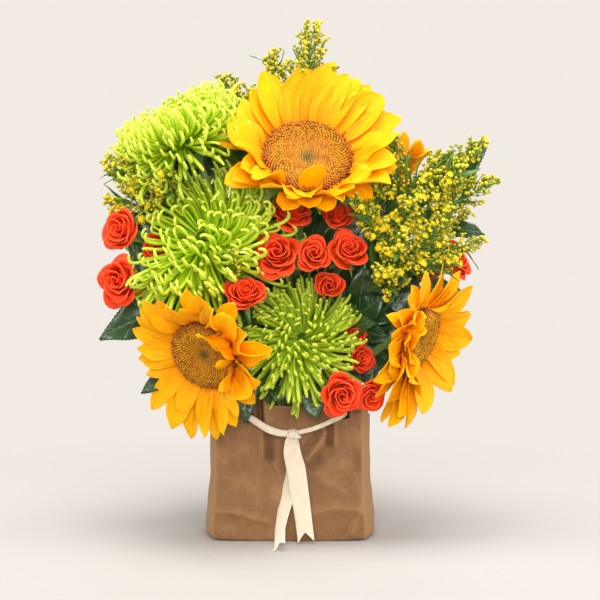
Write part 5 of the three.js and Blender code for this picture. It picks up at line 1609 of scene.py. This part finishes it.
def leaf_frame(base, along, upper):
    """The frame of a leaf in mm: its length along X, its upper face looking along Z."""
    x = Vector(along).normalized()
    z = Vector(upper)
    z = (z - x * z.dot(x)).normalized()
    return Matrix.Translation(Vector(base)) @ Matrix((x, z.cross(x), z)).transposed().to_4x4()


for number, (side, herb) in enumerate(GOLDENRODS.items()):
    random = np.random.default_rng(400 + number)
    node = f"goldenrod_{side}"
    stem = stem_line(herb["foot"], herb["stem"])
    lines, girths, sizes = [stem], [np.linspace(2.0, 1.5, STEM_POINTS)], [np.zeros(STEM_POINTS)]
    for points, width, opened in herb["plumes"]:
        for kept, new in zip((lines, girths, sizes), plume_lines(random, points, width, opened)):
            kept += new
    plumes = skeleton(node, lines, girth=girths, size=sizes, level=[np.zeros(len(line)) for line in lines])
    heading = plumes.data.attributes.new("facing", "FLOAT_VECTOR", "POINT")
    heading.data.foreach_set("vector", np.concatenate([np.gradient(line, axis=0) for line in lines]).ravel())
    grown(plumes, plume_tree, Bud=bud, Star=star, Radius=MM, Length=BUD_LENGTH * MM, Width=STAR_WIDTH * MM,
          Seed=number, Material=goldenrod)
    plumes.name = f"{node}_plumes"
    place_piece(plumes, "goldenrod", node)

    leaves = []
    routes = [stem[LEAFY_FROM:]] + [smooth_path(points, 20) for points, _, _ in herb["plumes"]]
    for route in routes:
        steps = np.linalg.norm(np.diff(route, axis=0), axis=1).sum()
        for _ in range(int(steps / LANCE_SPACING)):
            at = random.integers(1, len(route) - 2)
            ahead = unit(route[at + 1] - route[at])
            out = unit(np.cross(ahead, random.normal(size=3)))
            lean = math.radians(random.uniform(30, 62))
            length = random.uniform(20, 42) * (1 - 0.45 * at / len(route))
            bend, twist = random.uniform(-30, 40), random.uniform(-1, 1)
            lance = petal(random, length, length * 0.24, 0, bend, (0, 0), twist=twist, cup=0.2, ribs=0.06,
                          rows=10, columns=5, outline=LANCE)
            away = ahead * math.cos(lean) + out * math.sin(lean)
            leaves.append(carried(leaf_frame(route[at], away, ahead - out * 0.2), lance))
    sheets(leaves, f"{node}_leaves", blade_green, LANCE_THICK, "stem_green")

# ---------------------------------------------------------------- salal leaves
# Three leafy stems of salal. The leaves are broad, leathery and glossy, finely toothed round the
# edge, with a sunken midrib and side veins that arch towards the pointed tip.

# foot and stem: where it stands and its route above the glass, in mm; leaves: base, tip and width of
# each, and the way its upper face looks
LEAFY_STEMS = {
    "left": dict(
        foot=(-2.7, -21.1),
        stem=[(-9.3, -20.4, 126), (-25.7, -19.6, 150), (-47.5, -20.8, 171), (-70, -26, 190)],
        leaves=[
            ((-106, -34, 204), (-168, -34, 178), 38, (-0.2, -0.8, 0.5)),
            ((-92, -44, 152), (-129, -60, 134), 21, (-0.3, -0.8, 0.3)),
            ((-40, -49, 148), (-38, -58, 107), 22, (0, -1, 0.1)),
            ((-60, -34, 205), (-108, -52, 245), 26, (-0.3, -0.8, 0.5)),
            ((-72, -24, 196), (-112, -38, 214), 32, (-0.3, -0.7, 0.6)),
            ((-50, -36, 178), (-28, -60, 214), 26, (0.1, -0.9, 0.3)),
            ((-30, -30, 158), (-22, -58, 136), 30, (0, -0.9, 0.4)),
            ((-62, -22, 188), (-112, -8, 160), 32, (-0.4, -0.6, 0.6)),
            ((-84, 0, 258), (-104, 10, 350), 38, (-0.2, -1, 0.1)),
            ((-74, -2, 262), (-80, 8, 350), 38, (0.1, -1, 0.1)),
            ((-104, -22, 232), (-144, -24, 262), 30, (-0.2, -1, 0.1)),
            ((-100, -18, 258), (-140, -22, 288), 28, (-0.2, -1, 0.1)),
            ((-98, -6, 276), (-138, -10, 318), 32, (-0.1, -1, 0.1)),
        ],
    ),
    "right": dict(
        foot=(5.7, -25.5), stem=[(10.4, -23.4, 128), (22.7, -19.4, 154), (40.1, -17.1, 178), (60, -20, 200)],
        leaves=[
            ((16, -44, 142), (23, -57, 110), 24, (0, -1, 0.1)),
            ((131, 4.6, 301.6), (173, -6.9, 347.5), 32, (-0.3, -0.9, 0.3)),
            ((119, 11.8, 219.3), (156, 13.6, 215.6), 22, (0.1, -0.6, 0.8)),
            ((137.2, -6.9, 271.1), (172, -14.7, 268.9), 22, (0.1, -0.7, 0.7)),
            ((-4, -40, 140), (-14, -58, 128), 30, (-0.1, -0.9, 0.4)),
            ((58, -20, 196), (84, -34, 216), 26, (0.2, -0.9, 0.4)),
            ((62, -20, 200), (98, -26, 196), 26, (0.2, -0.8, 0.5)),
            ((48, -28, 186), (74, -52, 194), 20, (0.2, -0.9, 0.3)),
            ((60, -18, 202), (66, -32, 246), 26, (0.1, -0.9, 0.3)),
            ((36, -22, 172), (30, -40, 210), 26, (0, -1, 0.2)),
            ((52, -24, 184), (96, -32, 168), 28, (0.3, -0.7, 0.5)),
            ((40, -26, 176), (56, -56, 156), 26, (0.3, -0.9, 0.1)),
            ((60, -18, 200), (104, -30, 232), 28, (0.1, -0.9, 0.3)),
            ((54, -16, 192), (108, -14, 196), 30, (0.1, -0.9, 0.4)),
            ((46, -18, 180), (98, -22, 148), 28, (0.2, -0.9, 0.3)),
            ((56, -14, 196), (84, -8, 250), 30, (0.1, -0.9, 0.2)),
            ((50, -20, 186), (90, -48, 178), 22, (0.2, -0.9, 0.3)),
            ((30, -20, 166), (62, -40, 142), 26, (0.2, -0.9, 0.3)),
            ((84, -20, 194), (112, -12, 248), 34, (0, -1, 0)),
            ((74, -12, 168), (110, -6, 208), 36, (0, -1, 0.1)),
            ((56, -20, 146), (90, -18, 174), 28, (0, -1, 0.1)),
            ((60, -12, 232), (54, -8, 300), 36, (0, -1, 0.1)),
            ((68, -6, 238), (86, -2, 306), 34, (0.1, -1, 0)),
        ],
    ),
    "back": dict(
        foot=(-11.8, 16.8), stem=[(-10.3, 16.7, 139), (-7.3, 18.8, 179), (-5.1, 26.7, 216), (-6, 44, 250)],
        leaves=[
            ((-61, 50.7, 148.3), (-87, 76.5, 118.7), 28, (-0.3, 0.9, 0.3)),
            ((-4, 50, 146), (-6, 82.1, 121.9), 30, (0, 0.9, 0.4)),
            ((50, 52, 144), (84, 80, 124), 28, (0.3, 0.9, 0.3)),
            ((-120.7, 22, 253.1), (-160.1, 31.6, 274.1), 30, (-0.3, 0.5, 0.8)),
            ((93.6, 41.4, 266.4), (139.8, 51.8, 286.3), 30, (0.4, 0.6, 0.6)),
            ((-6, 44, 250), (-44, 78, 232), 32, (-0.2, 0.8, 0.4)),
            ((-6, 44, 248), (30, 80, 226), 32, (0.2, 0.8, 0.4)),
            ((-8, 30, 220), (-62, 66, 214), 34, (-0.3, 0.8, 0.4)),
            ((-4, 28, 216), (52, 62, 208), 34, (0.3, 0.8, 0.4)),
            ((-6, 40, 240), (-60, 34, 296), 32, (-0.3, 0.3, 0.6)),
            ((-4, 40, 240), (34, 30, 300), 32, (0.2, -0.4, 0.6)),
            ((-8, 20, 190), (-66, 24, 236), 34, (-0.3, -0.6, 0.6)),
            ((-6, 20, 190), (70, 16, 246), 34, (0.3, -0.6, 0.6)),
            ((-8, 26, 214), (-96, -2, 268), 36, (-0.2, -0.8, 0.4)),
            ((-6, 30, 222), (-66, -8, 300), 36, (-0.1, -0.9, 0.3)),
            ((-4, 30, 224), (-14, -14, 306), 36, (0, -0.9, 0.3)),
            ((-4, 32, 226), (52, -4, 292), 36, (0.2, -0.9, 0.3)),
            ((-6, 24, 206), (96, 4, 262), 36, (0.2, -0.8, 0.4)),
            ((-8, 22, 196), (-112, 6, 226), 36, (-0.2, -0.8, 0.4)),
            ((-4, 22, 196), (104, 4, 216), 34, (0.2, -0.8, 0.4)),
            ((-8, 18, 172), (-76, -2, 196), 34, (-0.2, -0.8, 0.4)),
            ((-6, 18, 172), (56, -6, 202), 34, (0.2, -0.9, 0.3)),
            ((-6, 20, 180), (-20, -32, 228), 34, (0, -0.9, 0.2)),
            ((-6, 20, 184), (14, -30, 236), 32, (0, -0.9, 0.2)),
        ],
    ),
}
SALAL_OUTLINE = (
    [0, 0.05, 0.16, 0.32, 0.5, 0.7, 0.85, 0.94, 1], [0.1, 0.4, 0.8, 1, 0.97, 0.72, 0.4, 0.16, 0.01]
)
LEAF_TEETH = 22
LEAF_THICK = 0.35 * MM


def salal_leaf(random, length, width):
    """The grid of a leaf along +X with its upper face to +Z: folded, wavy, arched and toothed."""
    v = np.linspace(0, 1, 2 * LEAF_TEETH + 1)[:, None]
    u = np.linspace(-1, 1, 9)[None, :]
    half = np.interp(v, *SALAL_OUTLINE) * width / 2
    tooth = np.where(np.arange(2 * LEAF_TEETH + 1) % 2 == 1, 0.5, -0.35)[:, None] * (np.abs(u) > 0.99)
    phase = random.uniform(0, 6.3)
    across = half * u + np.sign(u) * tooth * np.minimum(half, 3) * 0.3
    fold = random.uniform(0.18, 0.42)
    lift = fold * np.abs(across) - 0.10 * width * u**2
    ripple = 0.05 * width * np.abs(u) ** 2 * np.sin(v * random.uniform(9, 13) + phase + np.sign(u))
    quilt = 0.012 * width * np.cos(math.tau * (v * 7 - 1.1 * np.abs(u))) * held(1 - np.abs(u))
    bend = random.uniform(0.15, 0.5)
    z = lift + ripple + quilt + 0.7 * bend * length * (v - v**2)
    return np.stack([np.broadcast_to(length * v, z.shape), across, z], -1)


salal_green, add = finish(
    "salal_leaf", Roughness=0.3, Specular_IOR_Level=0.6, Coat_Weight=0.25, Coat_Roughness=0.25
)
uv = add("SeparateXYZ", {"Vector": spot_of(add, "UV")}).outputs
place = spot_of(add)
off = off_middle(add, uv)
veins = maths(add, "MULTIPLY_ADD", uv["Y"], 8.0, maths(add, "MULTIPLY_ADD", off, -3.0, 0.0))
side_veins = fade(add, maths(add, "PINGPONG", veins, 1.0), 0, 0.09, 0, 1)
ribs = maths(add, "MAXIMUM", side_veins, fade(add, off, 0.012, 0.035, 0, 1))
mottle = speckle(add, place, 90, 4)
cells = add("TexVoronoi", {"Vector": place, "Scale": 900}).outputs["Distance"]
tone = marked(add, "tone")
tint = ramp(add, mottle, [(0.3, (0.010, 0.040, 0.012)), (0.7, (0.028, 0.082, 0.022))])
tint = mixed(add, fade(add, tone, 0.5, 1, 0.7), tint, (0.045, 0.12, 0.022))
tint = mixed(add, maths(add, "MULTIPLY", ribs, 0.55), tint, (0.14, 0.24, 0.06))
height = maths(add, "MULTIPLY_ADD", cells, 0.15, maths(add, "MULTIPLY", ribs, -1.0))
dress(salal_green, tint, relief(add, height, 0.5, 0.0005))

for number, (side, twig) in enumerate(LEAFY_STEMS.items()):
    random = np.random.default_rng(500 + number)
    node = f"leaves_{side}"
    stem = stem_line(twig["foot"], twig["stem"])
    lines, girths, blades, tones = [stem], [np.linspace(1.9, 1.2, STEM_POINTS)], [], []
    for base, tip, width, upper in twig["leaves"]:
        base, tip = np.array(base), np.array(tip)
        length = float(np.linalg.norm(tip - base))
        nearest = np.argmin(np.linalg.norm(stem - base, axis=1) + np.abs(stem[:, 2] - base[2] + 22) * 0.6)
        away = (tip - base) / length
        before = base - away * min(12, 0.3 * length)
        middle = (stem[nearest] + before) / 2 + np.array([0, 0, 4])
        lines.append(smooth_path([stem[nearest], middle, before, base + away], 16))
        girths.append(np.linspace(0.8, 0.6, 16))
        blades.append(carried(leaf_frame(base, away, upper), salal_leaf(random, length, width)))
        tones.append(random.uniform(0, 1))
    twigs = skeleton(node, lines, girth=girths)
    grown(twigs, sweep_tree, Sides=8, Radius=MM, Material=stem_green)
    twigs.name = f"{node}_twigs"
    twigs.data.shade_smooth()
    place_piece(twigs, "stem_green")
    sheets(blades, f"{node}_blades", salal_green, LEAF_THICK, "salal_leaf", node, marks={"tone": tones})

# ---------------------------------------------------------------- the bouquet's box
# The box round the finished bouquet.

low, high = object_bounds()
